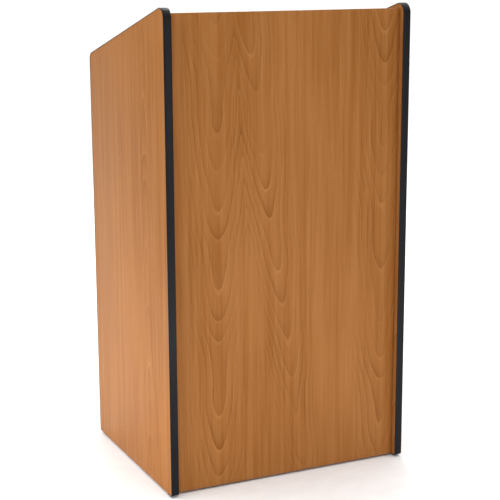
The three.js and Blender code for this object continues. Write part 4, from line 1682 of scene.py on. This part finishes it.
@dataclass
class PulloutShelf:
    """The pull-out shelf with its black edge and two ball-bearing slides."""

    shop: Workshop
    metal: float = 1.2 * MM
    bend: float = 1.7 * MM
    ball: float = 0.78 * MM
    groove: float = 1.1 * MM
    groove_depth: float = 10.0 * MM
    stem: float = 0.75 * MM
    barb: float = 9.0 * MM
    seat: float = 0.3 * MM
    balls: int = 12
    ball_pitch: float = 8.0 * MM

    def build(self) -> None:
        """Builds the board, the edge and the slides."""
        low, high = span("pullout_shelf")
        centre = (low.z + high.z) / 2.0
        slot = slab(Vector((low.x - MM, high.y - self.groove_depth, centre - self.groove)),
                    Vector((high.x + MM, high.y + MM, centre + self.groove)))
        lay = GrainLay(Axis.X, tuple(low), (0.09, 14.9))
        Board(self.shop, "pullout_board", "pullout_shelf", lay).plain([slot])
        self._edge()
        for side in Side:
            self._slide(side)

    def _edge(self) -> None:
        """Builds the shelf's T-molding."""
        low, high = span("pullout_edge_molding")
        centre = (high.z + low.z) / 2.0
        back = span("pullout_shelf")[1].y
        section = molding_cap((high.z - low.z) / 2.0, high.y - back, self.seat)
        section += [(self.stem, self.seat), (self.stem / 2.0, -self.barb), (-self.stem / 2.0, -self.barb),
                    (-self.stem, self.seat)]
        bm = prism([(back + out, centre + z) for z, out in section], low.x, high.x, Axis.X)
        made = object_of("pullout_t_molding", bm, [self.shop.palette.vinyl], 50.0)
        deliver(made, "pullout", "black_vinyl", "pullout_edge_molding")

    def _channel(self, node: str, opens: int) -> bmesh.types.BMesh:
        """A channel of bent sheet with rounded corners, along Y.

        Args:
            node: the node whose box it fills.
            opens: 1 if it opens towards +X, -1 towards -X.

        Returns:
            The closed mesh.
        """
        low, high = span(node)
        web = low.x if opens > 0 else high.x
        outer, inner = self.bend, self.bend - self.metal
        reach, foot, head = high.x - low.x, low.z + outer, high.z - outer
        points = [(reach, low.z), *arc((outer, foot), outer, 270.0, 180.0, 4)]
        points += [*arc((outer, head), outer, 180.0, 90.0, 4), (reach, high.z), (reach, high.z - self.metal)]
        points += arc((outer, head), inner, 90.0, 180.0, 3) + arc((outer, foot), inner, 180.0, 270.0, 3)
        points.append((reach, low.z + self.metal))
        bm = prism([(web + opens * depth, z) for depth, z in points], low.y, high.y, Axis.Y)
        ease_edges(bm, 0.2 * MM, 1, 60.0)
        return bm

    @staticmethod
    def _slots(low: Vector, high: Vector) -> list[bmesh.types.BMesh]:
        """The cutters for the four slots in a member's web.

        Args:
            low: the member's lowest corner.
            high: its highest corner.

        Returns:
            The cutters.
        """
        centre, web = (low.z + high.z) / 2.0, (low.x + high.x) / 2.0
        long, tall, through = 6.0 * MM, 2.0 * MM, 6.0 * MM
        made = []
        for share in (0.12, 0.38, 0.62, 0.88):
            y = low.y + share * (high.y - low.y)
            outline = rounded_box((y - long, centre - tall), (y + long, centre + tall), 1.99 * MM, 4)
            made.append(prism(outline, web - through, web + through, Axis.X))
        return made

    def _slide(self, side: Side) -> None:
        """Builds one slide: rail, middle and runner, its balls and its screws.

        Args:
            side: the side board that it is fixed to.
        """
        word, sign = side.word, side.sign
        zinc = self.shop.palette.zinc
        for member, opens in (("rail", -sign), ("middle", -sign), ("runner", sign)):
            node = f"{word}_slide_{member}"
            made = object_of(f"{node}_channel", self._channel(node, opens), [zinc])
            if member != "rail":
                cut(made, self._slots(*span(node)))
            deliver(made, body_of(node), "zinc_steel", node)
        rail, mid, runner = (span(f"{word}_slide_{m}") for m in ("rail", "middle", "runner"))
        x_outer = (max(rail[0].x, mid[0].x) + min(rail[1].x, mid[1].x)) / 2.0
        x_inner = (max(mid[0].x, runner[0].x) + min(mid[1].x, runner[1].x)) / 2.0
        gap_outer = (rail[1].z - self.metal + mid[1].z) / 2.0
        gap_inner = (mid[1].z - self.metal + runner[1].z) / 2.0
        centre = (rail[0].z + rail[1].z) / 2.0
        rows = []
        for x, z, start in ((x_outer, gap_outer, rail[0].y + 0.02), (x_inner, gap_inner, mid[1].y - 0.13)):
            for flip in (1, -1):
                rows.append(Vector((x, start, centre + flip * (z - centre))))
        for i, start in enumerate(rows):
            made = self.shop.repeater.run(
                f"{word}_slide_balls_{i + 1}", self.shop.repeater.balls, bpy.data.meshes.new("row"),
                {"Start": start, "Step": (0.0, self.ball_pitch, 0.0), "Count": self.balls,
                 "Ball Radius": self.ball, "Material": self.shop.palette.nickel}, 60.0)
            deliver(made, f"{word}_slide_middle_body", "zinc_steel")
        web_face = (rail[0].x + self.metal) if sign < 0 else (rail[1].x - self.metal)
        places = [(Vector((web_face, rail[0].y + share * (rail[1].y - rail[0].y), centre)),
                   Vector((-sign, 0.0, 0.0))) for share in (0.07, 0.5, 0.93)]
        self.shop.fasteners.place(f"{word}_rail_screws", self.shop.fasteners.flat, places, "carcass",
                                  21 + sign, zinc, "zinc_steel")


@dataclass
class Door:
    """One door with its continuous hinge, its pull, its strike and the catch above it."""

    shop: Workshop
    side: Side
    metal: float = 1.2 * MM
    knuckle: float = 3.2 * MM
    pin: float = 1.3 * MM
    pin_bore: float = 1.6 * MM
    leaf: float = 20.0 * MM
    clear: float = 3.8 * MM
    gap: float = 0.8 * MM
    knuckle_count: int = 11
    bar: float = 4.0 * MM
    bend: float = 12.0 * MM
    lock_hole: float = 9.3 * MM
    reveal: float = 0.6 * MM
    grain_shift: ClassVar[dict[Side, Pair]] = {Side.LEFT: (0.31, 6.1), Side.RIGHT: (0.012, 9.4)}

    def build(self) -> None:
        """Builds everything on this side's door."""
        self._slab()
        self._leaf(True)
        self._leaf(False)
        self._pin()
        self._pull()
        self._catch()

    def _slab(self) -> None:
        """Builds the door, with the lock's hole in the right one."""
        node = f"{self.side.word}_door"
        low, high = span(node)
        cutters = []
        if self.side is Side.RIGHT:
            lock = middle(span("lock_body"))
            turn = Matrix.Rotation(math.radians(90.0), 4, "X")
            place = Matrix.Translation((lock.x, (low.y + high.y) / 2, lock.z)) @ turn
            cutters.append(drill(self.lock_hole, -0.03, 0.03, 40, place))
        lay = GrainLay(Axis.Z, tuple(low), self.grain_shift[self.side])
        Board(self.shop, f"{node}_board", node, lay).plain(cutters)

    def _leaf(self, fixed: bool) -> None:
        """Builds one leaf of the hinge: a plate with tabs, rolled knuckles and screws.

        Args:
            fixed: the leaf on the side board, or the one on the door.
        """
        word, sign = self.side.word, self.side.sign
        node = f"{word}_hinge_{'frame' if fixed else 'door'}_leaf"
        axis = middle(span(f"{word}_hinge_pin"))
        low, high = span(f"{word}_hinge_pin")
        bottom, top = low.z, high.z
        pitch = (top - bottom) / self.knuckle_count
        mine = [i for i in range(self.knuckle_count) if (i % 2 == 0) == fixed]
        edge = [(self.clear, bottom)]
        for i in mine:
            start = bottom + i * pitch + self.gap / 2.0
            end = bottom + (i + 1) * pitch - self.gap / 2.0
            edge += [(self.clear, start), (self.reveal, start), (self.reveal, end), (self.clear, end)]
        edge.append((self.clear, top))
        corner = 2.0 * MM
        outline = edge + arc((self.leaf - corner, top - corner), corner, 90.0, 0.0, 4)
        outline += arc((self.leaf - corner, bottom + corner), corner, 0.0, -90.0, 4)
        near, far = self.knuckle - self.metal, self.knuckle
        if fixed:
            points = [(axis.y + y, z) for y, z in outline]
            plate = prism(points, *sorted((axis.x + sign * near, axis.x + sign * far)), Axis.X)
        else:
            points = [(axis.x - sign * x, z) for x, z in outline]
            plate = prism(points, axis.y - far, axis.y - near, Axis.Y)
        ease_edges(plate, 0.15 * MM, 1, 60.0)
        made = object_of(f"{node}_plate", plate, [self.shop.palette.plated])
        length = pitch - self.gap
        rolled = self.shop.repeater.run(
            f"{node}_rolled", self.shop.repeater.knuckles, bpy.data.meshes.new("row"),
            {"Start": (axis.x, axis.y, bottom + (mine[0] + 0.5) * pitch), "Step": (0.0, 0.0, 2.0 * pitch),
             "Count": len(mine), "Length": length, "Radius": self.knuckle, "Bore": self.pin_bore,
             "Material": self.shop.palette.plated})
        deliver(made, body_of(node), "zinc_steel", node)
        deliver(rolled, body_of(node), "zinc_steel")
        places = []
        for i in range(self.knuckle_count):
            z = bottom + (i + 0.5) * pitch
            out = 9.4 * MM if i % 2 else 14.2 * MM
            if fixed:
                places.append((Vector((axis.x + sign * near, axis.y + out, z)), Vector((-sign, 0.0, 0.0))))
            else:
                places.append((Vector((axis.x - sign * out, axis.y - near, z)), Vector((0.0, 1.0, 0.0))))
        self.shop.fasteners.place(f"{node}_screws", self.shop.fasteners.flat, places, body_of(node),
                                  31 + sign + 5 * fixed, self.shop.palette.plated, "zinc_steel")

    def _pin(self) -> None:
        """Builds the hinge's pin, domed at both ends."""
        node = f"{self.side.word}_hinge_pin"
        low, high = span(node)
        r, half = self.pin, (high.z - low.z) / 2.0
        profile = [(0.0, -half), (r * 0.7, -half + 0.1 * MM), (r, -half + 0.5 * MM), (r, half - 0.5 * MM),
                   (r * 0.7, half - 0.1 * MM), (0.0, half)]
        made = object_of(f"{node}_rod", turned(profile, 20, Matrix.Translation(middle((low, high)))),
                         [self.shop.palette.dark_steel])
        deliver(made, "carcass", "zinc_steel", node)

    def _pull(self) -> None:
        """Builds the door's bow pull, with a small foot at each end."""
        node = f"{self.side.word}_door_pull"
        low, high = span(node)
        x = (low.x + high.x) / 2.0
        r = (high.x - low.x) / 2.0
        face, reach = low.y, high.y - r
        ends = (low.z + r, high.z - r)
        foot = [(0.0, 1.45), (1.2, 1.45), (2.0, 1.25), (2.6, 1.0)]
        bow = arc((reach - self.bend, ends[0] + self.bend), self.bend, 270.0, 360.0, 12)
        bow += arc((reach - self.bend, ends[1] - self.bend), self.bend, 0.0, 90.0, 12)
        path = [(face + out * MM, ends[0], grow) for out, grow in foot] + [(y, z, 1.0) for y, z in bow]
        path += [(face + out * MM, ends[1], grow) for out, grow in reversed(foot)]
        rod = tube([Vector((x, y, z)) for y, z, _ in path], [r * grow for _, _, grow in path], 32)
        made = object_of(f"{node}_bow", rod, [self.shop.palette.nickel], 50.0)
        deliver(made, body_of(node), "satin_nickel", node)

    @staticmethod
    def _bar(centre: Vector, half_width: float, reach: Pair, half_height: float) -> bmesh.types.BMesh:
        """A bar across the door, round a centre in X and Z.

        Args:
            centre: its centre.
            half_width: half its size along X.
            reach: its lowest and highest Y.
            half_height: half its size along Z.

        Returns:
            The closed mesh.
        """
        return slab(Vector((centre.x - half_width, reach[0], centre.z - half_height)),
                    Vector((centre.x + half_width, reach[1], centre.z + half_height)))

    def _catch(self) -> None:
        """Builds the magnetic catch under the fixed shelf and the strike on the door."""
        word = self.side.word
        palette = self.shop.palette
        low, high = span(f"{word}_magnetic_catch")
        outline = rounded_box((low.x, low.z), (high.x, high.z), 2.2 * MM, 5)
        bm = prism(outline, low.y, high.y - 0.3 * MM, Axis.Y)
        ease_edges(bm, 0.5 * MM, 2, 50.0)
        made = object_of(f"{word}_catch_body", bm, [palette.plastic])
        centre = middle((low, high))
        cut(made, [self._bar(centre, 12.5 * MM, (high.y - 1.8 * MM, high.y + MM), 4.2 * MM)])
        deliver(made, "carcass", "black_plastic", f"{word}_magnetic_catch")
        inner = high.y - 6.0 * MM
        poles = []
        for off in (-2.9 * MM, 2.9 * MM):
            poles.append(self._bar(centre + Vector((0.0, 0.0, off)), 11.5 * MM, (inner, high.y), 0.6 * MM))
            ease_edges(poles[-1], 0.2 * MM, 1)
        magnet = self._bar(centre, 11.5 * MM, (inner, high.y - 0.9 * MM), 2.2 * MM)
        ease_edges(magnet, 0.3 * MM, 1)
        made = object_of(f"{word}_catch_poles", joined([*poles, magnet]), [palette.dark_steel])
        deliver(made, "carcass", "zinc_steel")
        places = [(Vector((centre.x + off, centre.y + MM, low.z)), Vector((0.0, 0.0, -1.0)))
                  for off in (-0.0175, 0.0175)]
        self.shop.fasteners.place(f"{word}_catch_screws", self.shop.fasteners.flat, places, "carcass",
                                  41, palette.zinc, "zinc_steel")
        node = f"{word}_strike_plate"
        low, high = span(node)
        outline = rounded_box((low.x, low.z), (high.x, high.z), 1.6 * MM, 5)
        bm = prism(outline, low.y, high.y, Axis.Y)
        ease_edges(bm, 0.25 * MM, 1, 50.0)
        made = object_of(f"{node}_sheet", bm, [palette.zinc])
        deliver(made, body_of(node), "zinc_steel", node)


@dataclass
class Lock:
    """The cam lock in the right door: its housing, its keyed plug and its cam."""

    shop: Workshop
    housing: float = 9.0 * MM
    flange: float = 11.5 * MM
    flange_thickness: float = 2.4 * MM
    plug: float = 6.0 * MM
    seat: float = 0.3 * MM

    def build(self) -> None:
        """Builds the three pieces."""
        low, high = span("lock_body")
        centre = middle((low, high))
        face = high.y - self.flange_thickness - self.seat
        place = Matrix.Translation((centre.x, face, centre.z)) @ Matrix.Rotation(math.radians(-90.0), 4, "X")
        self._housing(place, face - low.y)
        self._plug(place, face - low.y)
        self._cam()

    def _housing(self, place: Matrix, depth: float) -> None:
        """Builds the housing with a stepped flange.

        Args:
            place: where its outer seat is, its z out of the door.
            depth: how deep it goes into the door.
        """
        top = self.seat + self.flange_thickness
        bore = self.plug + self.seat
        f = self.flange
        profile = [
            (self.housing, -depth), (self.housing, self.seat), (f - 0.3 * MM, self.seat),
            (f, self.seat + 0.3 * MM), (f, top - 1.3 * MM), (f - 0.5 * MM, top - 0.5 * MM),
            (f - 1.4 * MM, top - 0.05 * MM), (f - 2.0 * MM, top), (bore + 1.2 * MM, top),
            (bore + 0.3 * MM, top - 0.2 * MM), (bore, top - 0.6 * MM), (bore, -depth),
        ]
        made = object_of("lock_housing", turned(profile, 64, place), [self.shop.palette.nickel])
        deliver(made, body_of("lock_body"), "satin_nickel", "lock_body")

    def _plug(self, place: Matrix, depth: float) -> None:
        """Builds the plug with its keyway and its square tail.

        Args:
            place: where its outer seat is.
            depth: how deep it goes.
        """
        top = self.flange_thickness
        profile = [(0.0, -depth), (self.plug, -depth), (self.plug, top - 0.5 * MM),
                   (self.plug - 0.5 * MM, top), (0.0, top)]
        made = object_of("lock_keyed_plug", turned(profile, 48, place), [self.shop.palette.nickel])
        outline = rounded_box((-3.0 * MM, -3.0 * MM), (3.0 * MM, 3.0 * MM), 0.4 * MM, 2)
        tail = prism(outline, -depth - 5.5 * MM, -depth + 1.0 * MM, Axis.Z)
        bmesh.ops.transform(tail, matrix=place, verts=tail.verts)
        cut(made, [tail], union=True)
        way = [(-0.8, -4.0), (0.8, -4.0), (0.8, -1.2), (0.3, -0.8), (0.3, 0.6), (0.8, 1.0), (0.8, 4.0),
               (-0.8, 4.0), (-0.8, 0.2), (-0.4, -0.3), (-0.4, -1.6), (-0.8, -2.0)]
        cutter = prism([(x * MM, y * MM) for x, y in way], top - 6.0 * MM, top + 2.0 * MM, Axis.Z)
        bmesh.ops.transform(cutter, matrix=place, verts=cutter.verts)
        cut(made, [cutter])
        deliver(made, body_of("lock_plug"), "satin_nickel", "lock_plug")

    def _cam(self) -> None:
        """Builds the cam, rounded at both ends and square-holed for the plug's tail."""
        low, high = span("lock_cam")
        centre = middle(span("lock_plug"))
        half = (high.x - low.x) / 2.0
        outline = arc((centre.x, centre.z), half, 0.0, 180.0, 16)
        tip = half * 0.8
        outline += arc((centre.x, low.z + tip), tip, 180.0, 360.0, 14)
        bm = prism(outline, low.y, high.y, Axis.Y)
        ease_edges(bm, 0.3 * MM, 1, 50.0)
        made = object_of("lock_cam_plate", bm, [self.shop.palette.zinc])
        room = 3.3 * MM
        cut(made, [slab(Vector((centre.x - room, low.y - MM, centre.z - room)),
                        Vector((centre.x + room, high.y + MM, centre.z + room)))])
        deliver(made, body_of("lock_cam"), "zinc_steel", "lock_cam")


@dataclass
class Caster:
    """One swivel caster: its plate and screws, its raceway and fork, its axle and its wheel."""

    shop: Workshop
    side: Side
    end: str
    trail: float = 17.0 * MM
    metal: float = 2.2 * MM
    race: float = 21.0 * MM
    width: float = 20.0 * MM
    fork_gap: float = 1.2 * MM
    kingpin_hole: float = 4.3 * MM
    axle_hole: float = 3.3 * MM
    cheek_eye: float = 8.0 * MM
    screw_inset: float = 7.5 * MM

    def build(self) -> None:
        """Builds the caster."""
        self.stem = f"caster_{self.side.word}_{self.end}"
        self.swivel = middle(span(f"{self.stem}_plate"))
        self.wheel = middle(span(f"{self.stem}_wheel"))
        self.radius = span(f"{self.stem}_wheel")[1].z / 2.0
        self._plate()
        self._fork()
        self._axle()
        self._wheel()

    def _plate(self) -> None:
        """Builds the mounting plate with rounded corners, and its four screws."""
        node = f"{self.stem}_plate"
        low, high = span(node)
        outline = rounded_box((low.x, low.y), (high.x, high.y), 7.0 * MM, 6)
        bm = prism(outline, low.z, high.z, Axis.Z)
        ease_edges(bm, 0.4 * MM, 2, 50.0)
        made = object_of(f"{node}_sheet", bm, [self.shop.palette.zinc])
        cut(made, [drill(self.kingpin_hole, -1.0, 1.0, 24, Matrix.Translation(middle((low, high))))])
        deliver(made, "carcass", "zinc_steel", node)
        inset = self.screw_inset
        places = [(Vector((x, y, low.z)), Vector((0.0, 0.0, -1.0)))
                  for x in (low.x + inset, high.x - inset) for y in (low.y + inset, high.y - inset)]
        self.shop.fasteners.place(f"{self.stem}_screws", self.shop.fasteners.pan, places, "carcass",
                                  51, self.shop.palette.zinc, "zinc_steel")

    def _fork(self) -> None:
        """Builds the raceway, the kingpin and the fork's two cheeks."""
        node = f"{self.stem}_fork"
        high = span(node)[1]
        top = span(f"{self.stem}_plate")[0].z - 0.3 * MM
        race_low = top - 7.0 * MM
        x, y = self.swivel.x, self.swivel.y
        race = self.race
        steps = ((4.0, 0.0), (1.2, 0.7), (0.2, 2.2), (0.5, 3.2), (1.3, 3.5), (0.4, 3.9), (0.0, 5.2),
                 (0.5, 6.5), (1.5, 7.0))
        profile = [(0.0, race_low)] + [(race - back * MM, race_low + up * MM) for back, up in steps]
        profile += [(4.4 * MM, top), (4.0 * MM, top + 0.2 * MM), (4.0 * MM, high.z), (0.0, high.z)]
        bm = turned(profile, 48, Matrix.Translation((x, y, 0.0)))
        made = object_of(f"{self.stem}_yoke", bm, [self.shop.palette.zinc])
        inner = self.width / 2.0 + self.fork_gap
        outer = inner + self.metal
        cheek = [(y - race + 6.0 * MM, race_low + 1.5 * MM)]
        cheek += arc((y + self.trail, self.wheel.z), self.cheek_eye, 180.0, 360.0, 16)
        cheek += [(y + race - 1.0 * MM, race_low + 1.5 * MM)]
        cheeks = []
        for sign in (-1, 1):
            sides = sorted((x + sign * inner, x + sign * outer))
            plate = prism(cheek, sides[0], sides[1], Axis.X)
            ease_edges(plate, 0.5 * MM, 2, 60.0)
            cheeks.append(plate)
        cut(made, cheeks, union=True)
        turn = Matrix.Rotation(math.radians(90.0), 4, "Y")
        axis = Matrix.Translation((x, y + self.trail, self.wheel.z)) @ turn
        cut(made, [drill(self.axle_hole, -0.03, 0.03, 24, axis)])
        deliver(made, body_of(node), "zinc_steel", node)

    def _axle(self) -> None:
        """Builds the axle: a bolt through the wheel, chamfered at both ends."""
        node = f"{self.stem}_axle"
        low, high = span(node)
        half = (high.x - low.x) / 2.0
        turn = Matrix.Rotation(math.radians(90.0), 4, "Y")
        profile = [(0.0, -half), (2.2 * MM, -half + 0.1 * MM), (3.0 * MM, -half + 0.7 * MM),
                   (3.0 * MM, half - 0.7 * MM), (2.2 * MM, half - 0.1 * MM), (0.0, half)]
        made = object_of(f"{node}_bolt", turned(profile, 24, Matrix.Translation(middle((low, high))) @ turn),
                         [self.shop.palette.nickel])
        deliver(made, body_of(node), "zinc_steel", node)

    def _wheel(self) -> None:
        """Builds the tyre and the hub as two pieces of one wheel."""
        node = f"{self.stem}_wheel"
        low, high = span(node)
        half = self.width / 2.0
        reach = (high.x - low.x) / 2.0
        radius = self.radius
        turn = Matrix.Translation(self.wheel) @ Matrix.Rotation(math.radians(90.0), 4, "Y")
        tyre_in = radius - 6.5 * MM
        shoulder = ((3.2, 0.0), (1.2, 1.2), (0.25, 3.0), (0.0, 5.0))
        flank = [(tyre_in, -half + 0.6 * MM)]
        flank += [(radius - down * MM, -half + across * MM) for down, across in shoulder]
        tyre = flank + [(r, -h) for r, h in reversed(flank)]
        made = object_of(f"{node}_tyre", turned(tyre, 64, turn), [self.shop.palette.rubber], 40.0)
        body = body_of(node)
        deliver(made, body, "wheel_rubber", node)
        edge, face = tyre_in / MM - 0.05, -reach / MM
        hub = [(3.3, face), (7.0, face), (7.4, face + 0.5), (7.6, -7.2), (8.6, -6.6), (edge - 2.6, -6.6),
               (edge - 1.6, -7.4), (edge - 1.2, -9.0), (edge, -9.2)]
        outline = hub + [(r, -h) for r, h in reversed(hub)]
        made = object_of(f"{node}_hub", turned([(r * MM, h * MM) for r, h in outline], 64, turn),
                         [self.shop.palette.hub], 40.0)
        deliver(made, body, "black_plastic")


# ---------------------------------------------------------------------------------------------
# Studio
# ---------------------------------------------------------------------------------------------


@dataclass
class Studio:
    """The camera, the soft lights and the pale floor."""

    palette: Palette
    eye: tuple[float, float, float] = (-1.431, -3.042, 1.273)
    yaw: float = 25.37
    pitch: float = 12.41
    roll: float = -0.24
    lens: float = 95.18
    floor: float = 60.0
    zenith: float = 1.5
    horizon: float = 0.25

    def build(self) -> None:
        """Builds the studio."""
        for step in (self._camera, self._lights, self._surround, self._floor):
            step()

    def _camera(self) -> None:
        """Puts the camera where the object is looked at from."""
        data = bpy.data.cameras.new("camera")
        data.sensor_width = 36.0
        data.lens = self.lens
        data.clip_end = 200.0
        camera = bpy.data.objects.new("camera", data)
        bpy.context.scene.collection.objects.link(camera)
        turn = Matrix.Rotation(math.radians(-self.yaw), 4, "Z")
        nod = Matrix.Rotation(math.radians(90.0 - self.pitch), 4, "X")
        lean = Matrix.Rotation(math.radians(self.roll), 4, "Z")
        camera.matrix_world = Matrix.Translation(self.eye) @ turn @ nod @ lean
        bpy.context.scene.camera = camera

    @staticmethod
    def _lamp(name: str, place: Vector, aim: Vector, size: Pair, power: float) -> None:
        """Adds one soft rectangular light.

        Args:
            name: its name.
            place: where it is.
            aim: the point that it shines at.
            size: its width and height, in metres.
            power: its power, in watts.
        """
        data = bpy.data.lights.new(name, "AREA")
        data.shape = "RECTANGLE"
        data.size, data.size_y = size
        data.energy = power
        lamp = bpy.data.objects.new(name, data)
        bpy.context.scene.collection.objects.link(lamp)
        turn = (aim - place).to_track_quat("-Z", "Y").to_matrix().to_4x4()
        lamp.matrix_world = Matrix.Translation(place) @ turn
        lamp.visible_camera = False

    def _lights(self) -> None:
        """Adds the soft lights: low ones near the floor on two sides, and weaker ones above and behind."""
        lamps = (
            ("key", (-1.0, 0.0, 0.15), (-0.3, 0.0, 0.06), (1.2, 0.2), 4.0),
            ("crest", (-1.2, 0.1, 1.9), (-0.3, 0.0, 1.1), (1.0, 0.4), 5.5),
            ("fill", (1.2, -4.0, 0.9), (0.0, 0.0, 0.3), (0.7, 0.7), 7.0),
            ("foot", (0.1, -1.2, 0.12), (0.0, -0.2, 0.05), (1.2, 0.2), 1.7),
            ("back", (1.2, 4.0, 2.6), (0.0, 0.0, 0.6), (2.4, 2.4), 60.0),
            ("over", (0.8, 0.7, 3.4), (0.0, 0.0, 0.6), (0.7, 0.7), 14.0),
        )
        for name, place, aim, size, power in lamps:
            self._lamp(name, Vector(place), Vector(aim), size, power)

    def _surround(self) -> None:
        """Makes a dome that is bright overhead and dim at the sides, and white where it is seen."""
        world = bpy.data.worlds.new("surround")
        world.use_nodes = True
        w = Wiring(world.node_tree)
        height = w.split(w.node("ShaderNodeTexCoord").outputs["Generated"])[2]
        bright = w.ramp(height, 0.05, 0.85, self.horizon, self.zenith)
        seen = w.node("ShaderNodeLightPath").outputs["Is Camera Ray"]
        background = world.node_tree.nodes["Background"]
        w.put(background.inputs["Color"], w.blend(seen, bright, (1.0, 1.0, 1.0, 1.0)))
        bpy.context.scene.world = world
        bpy.context.scene.view_settings.view_transform = "Standard"

    def _floor(self) -> None:
        """Lays the floor."""
        bm = bmesh.new()
        bmesh.ops.create_grid(bm, x_segments=12, y_segments=12, size=self.floor / 2.0)
        made = object_of("studio_floor", bm, [self.palette.floor])


def main() -> None:
    """Builds the whole lectern, one sub-assembly after another."""
    logging.basicConfig(level=logging.INFO, format="%(name)s: %(message)s")
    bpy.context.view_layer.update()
    effects = Effects()
    palette = Palette(effects)
    repeater = Repeater()
    shop = Workshop(palette, repeater, Fasteners(repeater, palette))
    Studio(palette).build()
    for side in Side:
        SideFrame(shop, side).build()
    Cabinet(shop).build()
    Desk(shop).build()
    PulloutShelf(shop).build()
    for side in Side:
        Door(shop, side).build()
    Lock(shop).build()
    for side in Side:
        for end in ("front", "back"):
            Caster(shop, side, end).build()
    shop.fasteners.clear()
    bpy.context.view_layer.update()


if __name__ == "__main__":
    main()
